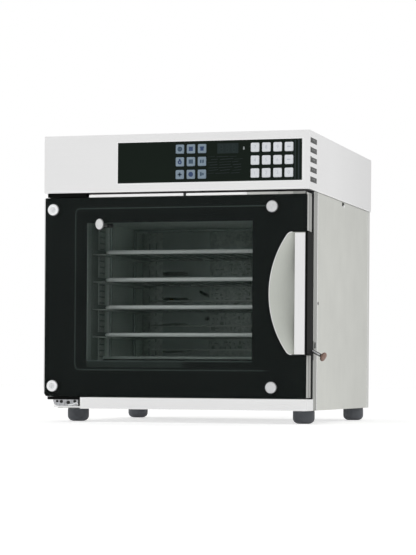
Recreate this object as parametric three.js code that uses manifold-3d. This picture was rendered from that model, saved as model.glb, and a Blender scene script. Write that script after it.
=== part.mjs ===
// Countertop convection steam oven with a glazed side-hung door, a key panel above it and wire shelves
// inside. Millimetres. X runs to the right, Y to the back and Z up. Places are measured from the left
// side of the control housing, from the front face of the door glass and from the underside of the base.
import * as THREE from 'three';
import { mergeVertices } from 'three/addons/utils/BufferGeometryUtils.js';
import Module from 'manifold-3d';

const wasm = await Module();
wasm.setup();

// Driving dimensions of the whole oven
const OVEN_WIDTH = 650;
const OVEN_DEPTH = 700;
const BODY_HEIGHT = 512.5;
const HOUSING_HEIGHT = 136;
const FOOT_HEIGHT = 32;
const SHEET = 1.5;
const BODY_INSET = 3;

// Gaps: between pieces that touch, round a moving piece, and past the face that a cut leaves through
const FIT = 0.3;
const RUNNING = 0.4;
const OVERRUN = 6;

// Body
const DOOR_THICKNESS = 56;
const SEAL_GAP = 10;
const FRAME_DEPTH = 30;
const REAR_WRAP = 24;
const PANEL_FLANGE = 12;
const PAN_HEIGHT = 20;
const SLIT_HEIGHT = 12;
const SLIT_WIDTH = 3;
const REAR_SPACE = 140;

// Cavity and what lies round it
const CAVITY_SIDE = 85;
const CAVITY_BELOW_HOUSING = 57.5;
const CAVITY_FLOOR = 110;
const INSULATION = 30;
const GASKET_MARGIN = 11;
const GASKET_WIDTH = 12;
const GASKET_CORNER = 14;

// Front sill and hinge blocks
const SILL_HEIGHT = 27;
const SILL_LEFT = 94;
const HINGE_LEFT = 8;
const HINGE_SIDE = 24;
const HINGE_SETBACK = 28;
const HINGE_CLEARANCE = 1.2;
const HINGE_LENGTH = 97;
const HINGE_FRONT = 3;
const HINGE_ROUND = 14;
const LOWER_HINGE_LEFT = 23;
const LOWER_HINGE_RISE = 6;
const HINGE_LEDGE_REACH = 13;
const HINGE_LEDGE = 5.7;
const HINGE_PIN = 10;
const HINGE_PIN_REACH = 15;

// Control housing
const HOUSING_MARGIN = 40;
const LOUVRE_COUNT = 5;
const LOUVRE_LENGTH = 66;
const LOUVRE_HEIGHT = 14;
const LOUVRE_PITCH = 22.6;
const LOUVRE_SETBACK = 8;
const LOUVRE_TOP = 14;
const LOUVRE_HOOD = 2.4;

// Display and keys
const DISPLAY_WIDTH = 447;
const DISPLAY_HEIGHT = 95.5;
const DISPLAY_RIGHT = 18;
const DISPLAY_TOP = 20;
const DISPLAY_THICKNESS = 3.6;
const DISPLAY_PROUD = 0.6;
const KEY_WIDTH = 20.5;
const KEY_HEIGHT = 21.5;
const KEY_CORNER = 2.2;
const KEY_PROUD = 1.2;
const KEY_LENGTH = 7.6;
const KEY_FLANGE = 1.2;
const KEY_FLANGE_LENGTH = 1.4;
const KEY_PITCH_X = 27;
const KEY_PITCH_Z = 29.8;
const KEY_ROWS = 3;
const FUNCTION_COLUMNS = 3;
const NUMBER_COLUMNS = 4;
const FUNCTION_KEYS_LEFT = 153;
const NUMBER_KEYS_LEFT = 335;
const BOARD_THICKNESS = 1.6;
const BOARD_MARGIN = 9;
const BOARD_SETBACK = 9.5;
const BOARD_POST = 6;
const SWITCH_SIZE = 8;
const SWITCH_HEIGHT = 1;

// Door
const DOOR_LEFT = 1;
const DOOR_RIGHT_GAP = 5.5;
const DOOR_BOTTOM_GAP = 1.6;
const DOOR_TOP_GAP = 10.7;
const GLASS = 6;
const INNER_GLASS = 4.5;
const GLASS_CORNER = 3;
const GLASS_CUT_CORNER = 6;
const DOOR_FRAME_INSET = 1.5;
const DOOR_WINDOW_MARGIN = 5;
const INNER_GLASS_LAP = 5;
const CAP_DIAMETER = 27;
const CAP_THICKNESS = 5;
const CAP_ROUND = 2;
const CAP_RING = 17;
const CAP_RING_DEPTH = 0.5;
const CAP_STUD = 8;
const CAP_BOSS = 12;
const CAP_LEFT = 24;
const CAP_RIGHT = 82.5;
const CAP_TOP = 28.8;
const CAP_BOTTOM = 25;
const CATCH_WIDTH = 20;
const CATCH_HEIGHT = 26;
const CATCH_PROUD = 7;
const CATCH_SHAFT = 8;
const CATCH_INSET = 56;
const CATCH_BELOW_TOP = 64.5;
const CATCH_CAM_LENGTH = 34;
const CATCH_CAM_WIDTH = 10;
const CATCH_CAM_THICKNESS = 3;

// Handle: a dished steel plate in a bite out of the glass, with a grip strip over its deep end
const SCOOP_HEIGHT = 281;
const SCOOP_ABOVE_MIDDLE = 7.3;
const SCOOP_WIDTH = 88.5;
const SCOOP_RADIUS = 237.6;
const SCOOP_DEPTH = 32;
const SCOOP_DEPTH_SHARES = [[0, 0], [0.09, 0.17], [0.24, 0.45], [0.42, 0.72], [0.62, 0.92], [0.82, 1]];
const GRIP_WIDTH = 24.5;
const GRIP_PROUD = 3;
const GRIP_FLANGE = 12;
const GRIP_EXTRA = 1.5;
const MOULDING_WALL = 3;
const MOULDING_SIDE = 5;
const MOULDING_PROUD = 2.3;
const MOULDING_FRONT = 1;

// Shelves and their racks
const SHELF_COUNT = 4;
const SHELF_SIDE = 23.5;
const SHELF_FIRST = 68;
const SHELF_HEADROOM = 76.9;
const SHELF_SETBACK = 54;
const SHELF_REAR_GAP = 47;
const SHELF_ROD = 8;
const SHELF_CORNER = 16;
const SHELF_WIRE = 3.6;
const SHELF_WIRES = 13;
const RACK_ROD = 8;
const RACK_FRONT_INSET = 116;
const RACK_REAR_INSET = 27;
const RAIL_WIDTH = 33;
const RAIL_THICKNESS = 2;
const RAIL_LIP = 12;
const RAIL_OVERHANG = 12;

// Fan, heater, steam and exhaust
const FAN_CHAMBER = 60;
const BAFFLE_SIDE_GAP = 14;
const BAFFLE_POST = 8;
const BAFFLE_POST_INSET = 22;
const INTAKE_INNER = 24;
const INTAKE_OUTER = 84;
const INTAKE_SLOT = 8;
const INTAKE_SLOTS = 14;
const INTAKE_SWIRL = 18;
const AIR_SLOT_LENGTH = 96;
const AIR_SLOT_HEIGHT = 8;
const AIR_SLOT_INSET = 14;
const FAN_BELOW_MIDDLE = 4.5;
const FAN_DIAMETER = 184;
const FAN_DISC = 2;
const FAN_BLADES = 10;
const FAN_BLADE_DEPTH = 28;
const FAN_BLADE_LENGTH = 42;
const FAN_BLADE_THICKNESS = 2;
const FAN_HUB = 38;
const FAN_HUB_LENGTH = 18;
const FAN_BACK_GAP = 7;
const SHAFT = 10;
const SHAFT_REACH = 34;
const MOTOR_DIAMETER = 110;
const MOTOR_LENGTH = 74;
const MOTOR_FLANGE = 130;
const MOTOR_FLANGE_THICKNESS = 3;
const MOTOR_CAP = 60;
const MOTOR_CAP_LENGTH = 9;
const HEATER_RADIUS = 118;
const HEATER_TUBE = 8.5;
const HEATER_BACK_GAP = 22;
const HEATER_LEG_REACH = 44;
const HEATER_OPEN_ANGLE = 11;
const PIPE = 8;
const PIPE_INSET = 65;
const PIPE_BEND = 12;
const PIPE_INTO_CAVITY = 16;
const VALVE_WIDTH = 44;
const VALVE_HEIGHT = 34;
const VALVE_LENGTH = 58;
const VALVE_Z = 80;
const VALVE_COIL = 30;
const INLET = 26;
const INLET_REACH = 16;
const EXHAUST = 40;
const EXHAUST_INSET = 65;
const EXHAUST_BELOW_CEILING = 55;
const EXHAUST_REACH = 16;
const GLAND_INSET = 87;
const GLAND_Z = 60;
const GLAND_THREAD = 20;
const GLAND_NUT = 28;
const GLAND_NUT_LENGTH = 8;
const GLAND_DOME = 22;
const GLAND_DOME_LENGTH = 12;
const GLAND_BORE = 11;
const VENT_COUNT = 7;
const VENT_PITCH = 16;
const VENT_LENGTH = 110;
const VENT_HEIGHT = 6;
const VENT_BELOW_TOP = 132.2;
const VENT_INSET = 70;

// Vent lever on the right
const LEVER_INSET = 25;
const LEVER_Z = 150;
const LEVER_REACH = 46.5;
const LEVER_DROP = 24;
const LEVER_ROD = 5;
const LEVER_PIN = 6;
const LEVER_PIN_REACH = 22;
const LEVER_KNOB = 22;
const LEVER_KNOB_LENGTH = 12;
const LEVER_KNOB_ROUND = 4;

// Feet
const FOOT_DIAMETER = 52;
const FOOT_ROUND = 8;
const FOOT_INSET = 42;
const FOOT_REAR_INSET = 31;
const FOOT_FRONT = 135;
const FOOT_BACK = 60;

// Facets
const ROUND = 20;
const SMALL_ROUND = 10;
const NUT_SIDES = 6;
const ROD_SIDES = 6;
const WIRE_SIDES = 4;
const BEND_STEPS = 3;
const SCOOP_STEPS = 96;
const SCOOP_ARC_STEPS = 10;
const MERGE = 1e-4;

// Places that several pieces share
const BODY_LEFT = BODY_INSET;
const BODY_RIGHT = OVEN_WIDTH - BODY_INSET;
const BODY_TOP = BODY_HEIGHT - FIT;
const HOUSING_TOP = BODY_HEIGHT + HOUSING_HEIGHT;
const FRAME_FRONT = DOOR_THICKNESS + SEAL_GAP;
const FRAME_BACK = FRAME_FRONT + FRAME_DEPTH;
const CAVITY_LEFT = CAVITY_SIDE;
const CAVITY_RIGHT = OVEN_WIDTH - CAVITY_SIDE;
const CAVITY_CEILING = BODY_HEIGHT - CAVITY_BELOW_HOUSING;
const CAVITY_BACK = OVEN_DEPTH - REAR_SPACE;
const LINER_BACK = CAVITY_BACK + SHEET;
const REAR_INNER = OVEN_DEPTH - SHEET;
const REAR_FRONT = OVEN_DEPTH - REAR_WRAP;
const FAN_X = OVEN_WIDTH / 2;
const FAN_Z = (CAVITY_FLOOR + CAVITY_CEILING) / 2 - FAN_BELOW_MIDDLE;
const PIPE_X = CAVITY_LEFT + PIPE_INSET;
const EXHAUST_X = CAVITY_RIGHT - EXHAUST_INSET;
const GLAND_X = BODY_RIGHT - GLAND_INSET;
const DISPLAY_X1 = OVEN_WIDTH - DISPLAY_RIGHT;
const DISPLAY_X0 = DISPLAY_X1 - DISPLAY_WIDTH;
const DISPLAY_Z1 = HOUSING_TOP - DISPLAY_TOP;
const DISPLAY_Z0 = DISPLAY_Z1 - DISPLAY_HEIGHT;
const DISPLAY_BACK = DISPLAY_THICKNESS - DISPLAY_PROUD;
const KEY_FRONT = -DISPLAY_PROUD - KEY_PROUD;
const BAFFLE_Y = CAVITY_BACK - FAN_CHAMBER;
const SHELF_FRONT = FRAME_FRONT + SHELF_SETBACK;
const SHELF_REAR = BAFFLE_Y - SHELF_REAR_GAP;
const SHELF_PITCH = (CAVITY_CEILING - CAVITY_FLOOR - SHELF_FIRST - SHELF_HEADROOM) / (SHELF_COUNT - 1);
const RACK_FRONT_Y = SHELF_FRONT + RACK_FRONT_INSET;
const RACK_REAR_Y = SHELF_REAR - RACK_REAR_INSET;
const DOOR_RIGHT = OVEN_WIDTH - DOOR_RIGHT_GAP;
const DOOR_BOTTOM = SILL_HEIGHT + DOOR_BOTTOM_GAP;
const DOOR_TOP = BODY_HEIGHT - DOOR_TOP_GAP;
const DOOR_FRAME_LEFT = DOOR_LEFT + DOOR_FRAME_INSET;
const DOOR_FRAME_RIGHT = DOOR_RIGHT - DOOR_FRAME_INSET;
const DOOR_FRAME_BOTTOM = DOOR_BOTTOM + DOOR_FRAME_INSET;
const DOOR_FRAME_TOP = DOOR_TOP - DOOR_FRAME_INSET;
const GLASS_BACK = GLASS + FIT;
const SCOOP_LEFT = DOOR_RIGHT - SCOOP_WIDTH;
const SCOOP_CENTRE_Z = (DOOR_BOTTOM + DOOR_TOP) / 2 + SCOOP_ABOVE_MIDDLE;
const SCOOP_LOW = SCOOP_CENTRE_Z - SCOOP_HEIGHT / 2;
const SCOOP_HIGH = SCOOP_CENTRE_Z + SCOOP_HEIGHT / 2;
const SCOOP_AXIS_X = SCOOP_LEFT + SCOOP_RADIUS;
const MOULDING_RIGHT = DOOR_RIGHT + MOULDING_PROUD;
const MOULDING_LEFT = MOULDING_RIGHT - MOULDING_SIDE;
const GRIP_RIGHT = MOULDING_LEFT - FIT;
const GRIP_LEFT = GRIP_RIGHT - GRIP_WIDTH;
const SCOOP_RUN = GRIP_RIGHT - SCOOP_LEFT;
const CATCH_X = CAVITY_LEFT + CATCH_INSET;
const CATCH_Z = DOOR_TOP - CATCH_BELOW_TOP;
const EXHAUST_Z = CAVITY_CEILING - EXHAUST_BELOW_CEILING;
const LEVER_X = OVEN_WIDTH - LEVER_INSET;
const LEVER_Y = DOOR_THICKNESS + SEAL_GAP / 2;
const CAP_PLACES = {
  glass_cap_top_left: [CAP_LEFT, DOOR_TOP - CAP_TOP],
  glass_cap_top_right: [DOOR_RIGHT - CAP_RIGHT, DOOR_TOP - CAP_TOP],
  glass_cap_bottom_left: [CAP_LEFT, DOOR_BOTTOM + CAP_BOTTOM],
  glass_cap_bottom_right: [DOOR_RIGHT - CAP_RIGHT, DOOR_BOTTOM + CAP_BOTTOM],
};

// A closed geometry as a solid that can be cut and joined
function solidOf(geometry) {
  const bare = geometry.clone();
  bare.deleteAttribute('normal');
  bare.deleteAttribute('uv');
  const merged = mergeVertices(bare, MERGE);
  return new wasm.Manifold(new wasm.Mesh({
    numProp: 3,
    vertProperties: new Float32Array(merged.attributes.position.array),
    triVerts: new Uint32Array(merged.index.array),
  }));
}

function geometryOf(solid) {
  const mesh = solid.getMesh();
  const geometry = new THREE.BufferGeometry();
  geometry.setAttribute('position', new THREE.BufferAttribute(mesh.vertProperties, 3));
  geometry.setIndex(new THREE.BufferAttribute(mesh.triVerts, 1));
  geometry.computeVertexNormals();
  return geometry;
}

function box(x0, x1, y0, y1, z0, z1) {
  const geometry = new THREE.BoxGeometry(x1 - x0, y1 - y0, z1 - z0);
  geometry.translate((x0 + x1) / 2, (y0 + y1) / 2, (z0 + z1) / 2);
  return solidOf(geometry);
}

// Round bars along each axis, from one end to the other
function barX(diameter, x0, x1, y, z, sides) {
  const geometry = new THREE.CylinderGeometry(diameter / 2, diameter / 2, x1 - x0, sides);
  geometry.rotateZ(Math.PI / 2);
  geometry.translate((x0 + x1) / 2, y, z);
  return solidOf(geometry);
}

function barY(diameter, x, y0, y1, z, sides) {
  const geometry = new THREE.CylinderGeometry(diameter / 2, diameter / 2, y1 - y0, sides);
  geometry.translate(x, (y0 + y1) / 2, z);
  return solidOf(geometry);
}

function barZ(diameter, x, y, z0, z1, sides) {
  const geometry = new THREE.CylinderGeometry(diameter / 2, diameter / 2, z1 - z0, sides);
  geometry.rotateX(Math.PI / 2);
  geometry.translate(x, y, (z0 + z1) / 2);
  return solidOf(geometry);
}

// An outline drawn in X and Z, given thickness from y0 to y1; a round stretch takes two facets a step
function plateXZ(shape, y0, y1, arcSteps = 1) {
  const geometry = new THREE.ExtrudeGeometry(
    shape, { depth: y1 - y0, bevelEnabled: false, curveSegments: arcSteps });
  geometry.rotateX(Math.PI / 2);
  geometry.translate(0, y1, 0);
  return solidOf(geometry);
}

function roundedRectangle(x0, x1, z0, z1, radius) {
  const shape = new THREE.Shape();
  shape.moveTo(x0 + radius, z0);
  shape.lineTo(x1 - radius, z0);
  shape.absarc(x1 - radius, z0 + radius, radius, -Math.PI / 2, 0);
  shape.lineTo(x1, z1 - radius);
  shape.absarc(x1 - radius, z1 - radius, radius, 0, Math.PI / 2);
  shape.lineTo(x0 + radius, z1);
  shape.absarc(x0 + radius, z1 - radius, radius, Math.PI / 2, Math.PI);
  shape.lineTo(x0, z0 + radius);
  shape.absarc(x0 + radius, z0 + radius, radius, Math.PI, Math.PI * 1.5);
  return shape;
}

function cutRectangle(x, z, halfX, halfZ, corner) {
  const shape = new THREE.Shape();
  shape.moveTo(x - halfX + corner, z - halfZ);
  shape.lineTo(x + halfX - corner, z - halfZ);
  shape.lineTo(x + halfX, z - halfZ + corner);
  shape.lineTo(x + halfX, z + halfZ - corner);
  shape.lineTo(x + halfX - corner, z + halfZ);
  shape.lineTo(x - halfX + corner, z + halfZ);
  shape.lineTo(x - halfX, z + halfZ - corner);
  shape.lineTo(x - halfX, z - halfZ + corner);
  return shape;
}

// A profile of [radius, length] pairs turned round Y, Z or X, running counter-clockwise from the axis
function turned(profile, sides) {
  return new THREE.LatheGeometry(profile.map(([radius, along]) => new THREE.Vector2(radius, along)), sides);
}

function turnedY(profile, x, z, sides) {
  return solidOf(turned(profile, sides).translate(x, 0, z));
}

function turnedZ(profile, x, y, sides) {
  return solidOf(turned(profile, sides).rotateX(Math.PI / 2).translate(x, y, 0));
}

// A tube of regular section along a path of points whose corners are rounded
function tube(points, diameter, bend, sides) {
  const path = new THREE.CurvePath();
  let start = points[0];
  for (let i = 1; i < points.length - 1; i += 1) {
    const corner = points[i];
    const inward = points[i - 1].clone().sub(corner).setLength(bend).add(corner);
    const onward = points[i + 1].clone().sub(corner).setLength(bend).add(corner);
    path.add(new THREE.LineCurve3(start, inward));
    path.add(new THREE.QuadraticBezierCurve3(inward, corner, onward));
    start = onward;
  }
  path.add(new THREE.LineCurve3(start, points[points.length - 1]));
  return alongPath(path, diameter, sides, path.curves.length * BEND_STEPS);
}

function alongPath(path, diameter, sides, steps) {
  const section = new THREE.Shape();
  for (let i = 0; i < sides; i += 1) {
    const angle = (i / sides) * Math.PI * 2;
    const x = Math.cos(angle) * diameter / 2;
    const y = Math.sin(angle) * diameter / 2;
    if (i === 0) section.moveTo(x, y);
    else section.lineTo(x, y);
  }
  section.closePath();
  return solidOf(new THREE.ExtrudeGeometry(section, { steps, extrudePath: path }));
}

function joined(solids) {
  return solids.reduce((whole, solid) => whole.add(solid));
}

function cutBy(solid, tools) {
  return tools.reduce((left, tool) => left.subtract(tool), solid);
}

const oven = new THREE.Group();

function finish(color, roughness, metalness, opacity = 1) {
  return { color, roughness, metalness, opacity, transparent: opacity < 1 };
}

const STEEL_BRIGHT = finish(0xe2e3e1, 0.35, 0.8);
const STEEL_BRUSHED = finish(0xc9cac5, 0.45, 0.9);
const STEEL_DULL = finish(0x9a9c98, 0.5, 0.9);
const BLACK_PLASTIC = finish(0x2b2d2d, 0.5, 0);
const RUBBER = finish(0x3a3f47, 0.8, 0);
const BLACK_GLASS = finish(0x141a1a, 0.08, 0);
const CLEAR_GLASS = finish(0x2a3330, 0.05, 0, 0.4);
const COPPER = finish(0xb98678, 0.4, 0.5);

function part(name, solid, look, parent = oven) {
  const material = new THREE.MeshStandardMaterial({ ...look, flatShading: true });
  const mesh = new THREE.Mesh(geometryOf(solid), material);
  mesh.name = name;
  parent.add(mesh);
  return mesh;
}

// Control housing: a folded sheet box over the whole top, with side louvres under raised hoods
function controlHousing() {
  const shell = box(0, OVEN_WIDTH, 0, OVEN_DEPTH, BODY_HEIGHT, HOUSING_TOP);
  const hollow = box(SHEET, OVEN_WIDTH - SHEET, SHEET, REAR_INNER, BODY_HEIGHT + SHEET, HOUSING_TOP - SHEET);
  const below = box(
    HOUSING_MARGIN, OVEN_WIDTH - HOUSING_MARGIN, FRAME_BACK, OVEN_DEPTH - HOUSING_MARGIN,
    BODY_HEIGHT - OVERRUN, BODY_HEIGHT + OVERRUN);
  const window = box(
    DISPLAY_X0 - FIT, DISPLAY_X1 + FIT, -OVERRUN, OVERRUN, DISPLAY_Z0 - FIT, DISPLAY_Z1 + FIT);
  const slots = [];
  for (let i = 0; i < LOUVRE_COUNT; i += 1) {
    const top = HOUSING_TOP - LOUVRE_TOP - i * LOUVRE_PITCH;
    slots.push(box(
      -OVERRUN, OVEN_WIDTH + OVERRUN, LOUVRE_SETBACK, LOUVRE_SETBACK + LOUVRE_LENGTH,
      top - LOUVRE_HEIGHT, top));
  }
  const hoods = [];
  for (let i = 0; i < LOUVRE_COUNT; i += 1) {
    const top = HOUSING_TOP - LOUVRE_TOP - i * LOUVRE_PITCH;
    hoods.push(louvreHood(0, 1, top));
    hoods.push(louvreHood(OVEN_WIDTH, -1, top));
  }
  return joined([cutBy(shell, [hollow, below, window, ...slots]), ...hoods]);
}

// One inward-leaning blade from a slot's upper edge, on the side wall at x
function louvreHood(x, inward, top) {
  const blade = new THREE.Shape();
  blade.moveTo(0, top);
  blade.lineTo(inward * SHEET, top);
  blade.lineTo(inward * (SHEET + LOUVRE_HOOD), top - LOUVRE_HEIGHT);
  blade.lineTo(inward * LOUVRE_HOOD, top - LOUVRE_HEIGHT);
  return plateXZ(blade, LOUVRE_SETBACK, LOUVRE_SETBACK + LOUVRE_LENGTH).translate([x, 0, 0]);
}

// Centres of the keys in one block of the panel
function keyPlaces(left, columns) {
  const places = [];
  for (let row = 0; row < KEY_ROWS; row += 1) {
    for (let column = 0; column < columns; column += 1) {
      places.push({
        x: DISPLAY_X0 + left + column * KEY_PITCH_X,
        z: (DISPLAY_Z0 + DISPLAY_Z1) / 2 + ((KEY_ROWS - 1) / 2 - row) * KEY_PITCH_Z,
      });
    }
  }
  return places;
}

const FUNCTION_KEYS = keyPlaces(FUNCTION_KEYS_LEFT, FUNCTION_COLUMNS);
const NUMBER_KEYS = keyPlaces(NUMBER_KEYS_LEFT, NUMBER_COLUMNS);
const KEYS = [...FUNCTION_KEYS, ...NUMBER_KEYS];

function displayGlass() {
  const sheet = box(DISPLAY_X0, DISPLAY_X1, -DISPLAY_PROUD, DISPLAY_BACK, DISPLAY_Z0, DISPLAY_Z1);
  const halfX = KEY_WIDTH / 2 + RUNNING;
  const halfZ = KEY_HEIGHT / 2 + RUNNING;
  const holes = KEYS.map(({ x, z }) => plateXZ(
    cutRectangle(x, z, halfX, halfZ, KEY_CORNER), -OVERRUN, OVERRUN));
  return cutBy(sheet, holes);
}

function key({ x, z }) {
  const halfX = KEY_WIDTH / 2;
  const halfZ = KEY_HEIGHT / 2;
  const cap = plateXZ(
    cutRectangle(x, z, halfX, halfZ, KEY_CORNER), KEY_FRONT, KEY_FRONT + KEY_LENGTH);
  const seat = DISPLAY_BACK + FIT;
  const flange = box(
    x - halfX - KEY_FLANGE, x + halfX + KEY_FLANGE, seat, seat + KEY_FLANGE_LENGTH,
    z - halfZ - KEY_FLANGE, z + halfZ + KEY_FLANGE);
  return cap.add(flange);
}

// Circuit board behind the keys, on posts from the housing front, with one switch per key
function controlBoard() {
  const x0 = DISPLAY_X0 - BOARD_MARGIN;
  const x1 = DISPLAY_X1 + BOARD_MARGIN;
  const z0 = DISPLAY_Z0 - BOARD_MARGIN;
  const z1 = DISPLAY_Z1 + BOARD_MARGIN;
  const solids = [box(x0, x1, BOARD_SETBACK, BOARD_SETBACK + BOARD_THICKNESS, z0, z1)];
  for (const x of [x0 + BOARD_POST / 2, x1 - BOARD_POST / 2]) {
    for (const z of [z0 + BOARD_POST / 2, z1 - BOARD_POST / 2]) {
      solids.push(barY(BOARD_POST, x, SHEET + FIT, BOARD_SETBACK + BOARD_THICKNESS / 2, z, ROD_SIDES));
    }
  }
  for (const { x, z } of KEYS) {
    solids.push(box(
      x - SWITCH_SIZE / 2, x + SWITCH_SIZE / 2,
      BOARD_SETBACK - SWITCH_HEIGHT, BOARD_SETBACK + BOARD_THICKNESS / 2,
      z - SWITCH_SIZE / 2, z + SWITCH_SIZE / 2));
  }
  return joined(solids);
}

// Side panel: a flat sheet with a flange along its top and foot; inward is 1 on the left and -1 on the right
function sidePanel(x, inward) {
  const y0 = FRAME_BACK + FIT;
  const y1 = REAR_FRONT - FIT;
  const ends = (from, to) => [x + inward * from, x + inward * to].sort((a, b) => a - b);
  const [outer0, outer1] = ends(0, PANEL_FLANGE);
  const [inner0, inner1] = ends(SHEET, PANEL_FLANGE + OVERRUN);
  return box(outer0, outer1, y0, y1, 0, BODY_TOP)
    .subtract(box(inner0, inner1, y0 - OVERRUN, y1 + OVERRUN, SHEET, BODY_TOP - SHEET));
}

function rearPanel() {
  const shell = box(BODY_LEFT, BODY_RIGHT, REAR_FRONT, OVEN_DEPTH, 0, BODY_TOP);
  const hollow = box(
    BODY_LEFT + SHEET, BODY_RIGHT - SHEET, REAR_FRONT - OVERRUN, REAR_INNER, SHEET, BODY_TOP - SHEET);
  const holes = [
    barY(INLET + FIT * 2, PIPE_X, REAR_INNER - OVERRUN, OVEN_DEPTH + OVERRUN, VALVE_Z, ROUND),
    barY(EXHAUST + FIT * 2, EXHAUST_X, REAR_INNER - OVERRUN, OVEN_DEPTH + OVERRUN, EXHAUST_Z, ROUND),
    barY(GLAND_THREAD + FIT * 2, GLAND_X, REAR_INNER - OVERRUN, OVEN_DEPTH + OVERRUN, GLAND_Z, SMALL_ROUND),
  ];
  for (let i = 0; i < VENT_COUNT; i += 1) {
    const z = BODY_TOP - VENT_BELOW_TOP - i * VENT_PITCH;
    holes.push(box(
      BODY_LEFT + VENT_INSET, BODY_LEFT + VENT_INSET + VENT_LENGTH,
      REAR_INNER - OVERRUN, OVEN_DEPTH + OVERRUN, z, z + VENT_HEIGHT));
    holes.push(box(
      FAN_X - VENT_LENGTH / 2, FAN_X + VENT_LENGTH / 2, REAR_INNER - OVERRUN, OVEN_DEPTH + OVERRUN,
      z, z + VENT_HEIGHT));
  }
  return cutBy(shell, [hollow, ...holes]);
}

// Base pan: a tray behind the front frame, its floor running forward under the frame into a boxed sill
function basePan() {
  const x0 = BODY_LEFT + PANEL_FLANGE + FIT;
  const x1 = BODY_RIGHT - PANEL_FLANGE - FIT;
  const y0 = FRAME_BACK + FIT;
  const y1 = REAR_FRONT - FIT;
  const sillBack = FRAME_FRONT - FIT;
  const tray = box(x0, x1, y0, y1, 0, PAN_HEIGHT)
    .subtract(box(x0 + SHEET, x1 - SHEET, y0 + SHEET, y1 - SHEET, SHEET, PAN_HEIGHT + OVERRUN));
  const tongue = box(SILL_LEFT, x1, SHEET, y0 + SHEET, 0, SHEET);
  const sill = box(SILL_LEFT, BODY_RIGHT, 0, sillBack, 0, SILL_HEIGHT)
    .subtract(box(
      SILL_LEFT + SHEET, BODY_RIGHT - SHEET, SHEET, sillBack + OVERRUN, SHEET, SILL_HEIGHT - SHEET));
  return joined([tray, tongue, sill]);
}

// Front frame: a sheet face with a folded rim, open for the cavity mouth and the lever's pin
function frontFrame() {
  const gap = SHEET + FIT;
  const foot = SHEET + FIT;
  const shell = box(BODY_LEFT, BODY_RIGHT, FRAME_FRONT, FRAME_BACK, foot, BODY_TOP);
  const hollow = box(
    BODY_LEFT + SHEET, BODY_RIGHT - SHEET, FRAME_FRONT + SHEET, FRAME_BACK + OVERRUN,
    foot + SHEET, BODY_TOP - SHEET);
  const mouth = box(
    CAVITY_LEFT - gap, CAVITY_RIGHT + gap, FRAME_FRONT - OVERRUN, FRAME_BACK,
    CAVITY_FLOOR - gap, CAVITY_CEILING + gap);
  const pinHole = barY(
    LEVER_PIN + RUNNING * 2, LEVER_X, FRAME_FRONT - OVERRUN, FRAME_FRONT + OVERRUN, LEVER_Z, SMALL_ROUND);
  const slit = box(
    BODY_RIGHT - OVERRUN, BODY_RIGHT + OVERRUN, FRAME_FRONT + OVERRUN, FRAME_FRONT + OVERRUN + SLIT_WIDTH,
    LEVER_Z - SLIT_HEIGHT / 2, LEVER_Z + SLIT_HEIGHT / 2);
  return cutBy(shell, [hollow, mouth, pinHole, slit]);
}

// Places of the heater's two legs through the back of the cavity
const HEATER_LEG_X = HEATER_RADIUS * Math.sin(THREE.MathUtils.degToRad(HEATER_OPEN_ANGLE));
const HEATER_LEG_Z = FAN_Z - HEATER_RADIUS * Math.cos(THREE.MathUtils.degToRad(HEATER_OPEN_ANGLE));

// Holes for what passes through the back of the cavity, each wider than its piece by the gap
function serviceHoles(gap, y0, y1) {
  const holes = [barY(PIPE + gap * 2, PIPE_X, y0, y1, FAN_Z, SMALL_ROUND)];
  for (const side of [-1, 1]) {
    holes.push(barY(HEATER_TUBE + gap * 2, FAN_X + side * HEATER_LEG_X, y0, y1, HEATER_LEG_Z, SMALL_ROUND));
  }
  return holes;
}

// Cavity liner: a sheet box open at the front, with the exhaust spigot welded to its back
function cavityLiner() {
  const shell = box(
    CAVITY_LEFT - SHEET, CAVITY_RIGHT + SHEET, FRAME_FRONT, LINER_BACK,
    CAVITY_FLOOR - SHEET, CAVITY_CEILING + SHEET);
  const hollow = box(
    CAVITY_LEFT, CAVITY_RIGHT, FRAME_FRONT - OVERRUN, CAVITY_BACK, CAVITY_FLOOR, CAVITY_CEILING);
  const spigotEnd = OVEN_DEPTH + EXHAUST_REACH;
  const spigot = barY(EXHAUST, EXHAUST_X, CAVITY_BACK, spigotEnd, EXHAUST_Z, ROUND);
  const spigotBore = barY(
    EXHAUST - SHEET * 2, EXHAUST_X, CAVITY_BACK - OVERRUN, spigotEnd + OVERRUN, EXHAUST_Z, ROUND);
  const shaftHole = barY(
    SHAFT + RUNNING * 2, FAN_X, CAVITY_BACK - OVERRUN, LINER_BACK + OVERRUN, FAN_Z, SMALL_ROUND);
  const holes = serviceHoles(FIT, CAVITY_BACK - OVERRUN, LINER_BACK + OVERRUN);
  return cutBy(shell.subtract(hollow).add(spigot), [spigotBore, shaftHole, ...holes]);
}

function insulationBlanket() {
  const gap = SHEET + FIT;
  const out = gap + INSULATION;
  const back = LINER_BACK + FIT + INSULATION;
  const block = box(
    CAVITY_LEFT - out, CAVITY_RIGHT + out, FRAME_BACK + FIT, back, CAVITY_FLOOR - out, CAVITY_CEILING + out);
  const liner = box(
    CAVITY_LEFT - gap, CAVITY_RIGHT + gap, FRAME_FRONT, LINER_BACK + FIT,
    CAVITY_FLOOR - gap, CAVITY_CEILING + gap);
  const half = MOTOR_FLANGE / 2 + FIT;
  const motor = box(FAN_X - half, FAN_X + half, LINER_BACK, back + OVERRUN, FAN_Z - half, FAN_Z + half);
  const spigot = barY(EXHAUST + RUNNING * 2, EXHAUST_X, LINER_BACK, back + OVERRUN, EXHAUST_Z, ROUND);
  return cutBy(block, [liner, motor, spigot, ...serviceHoles(RUNNING, LINER_BACK, back + OVERRUN)]);
}

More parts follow.
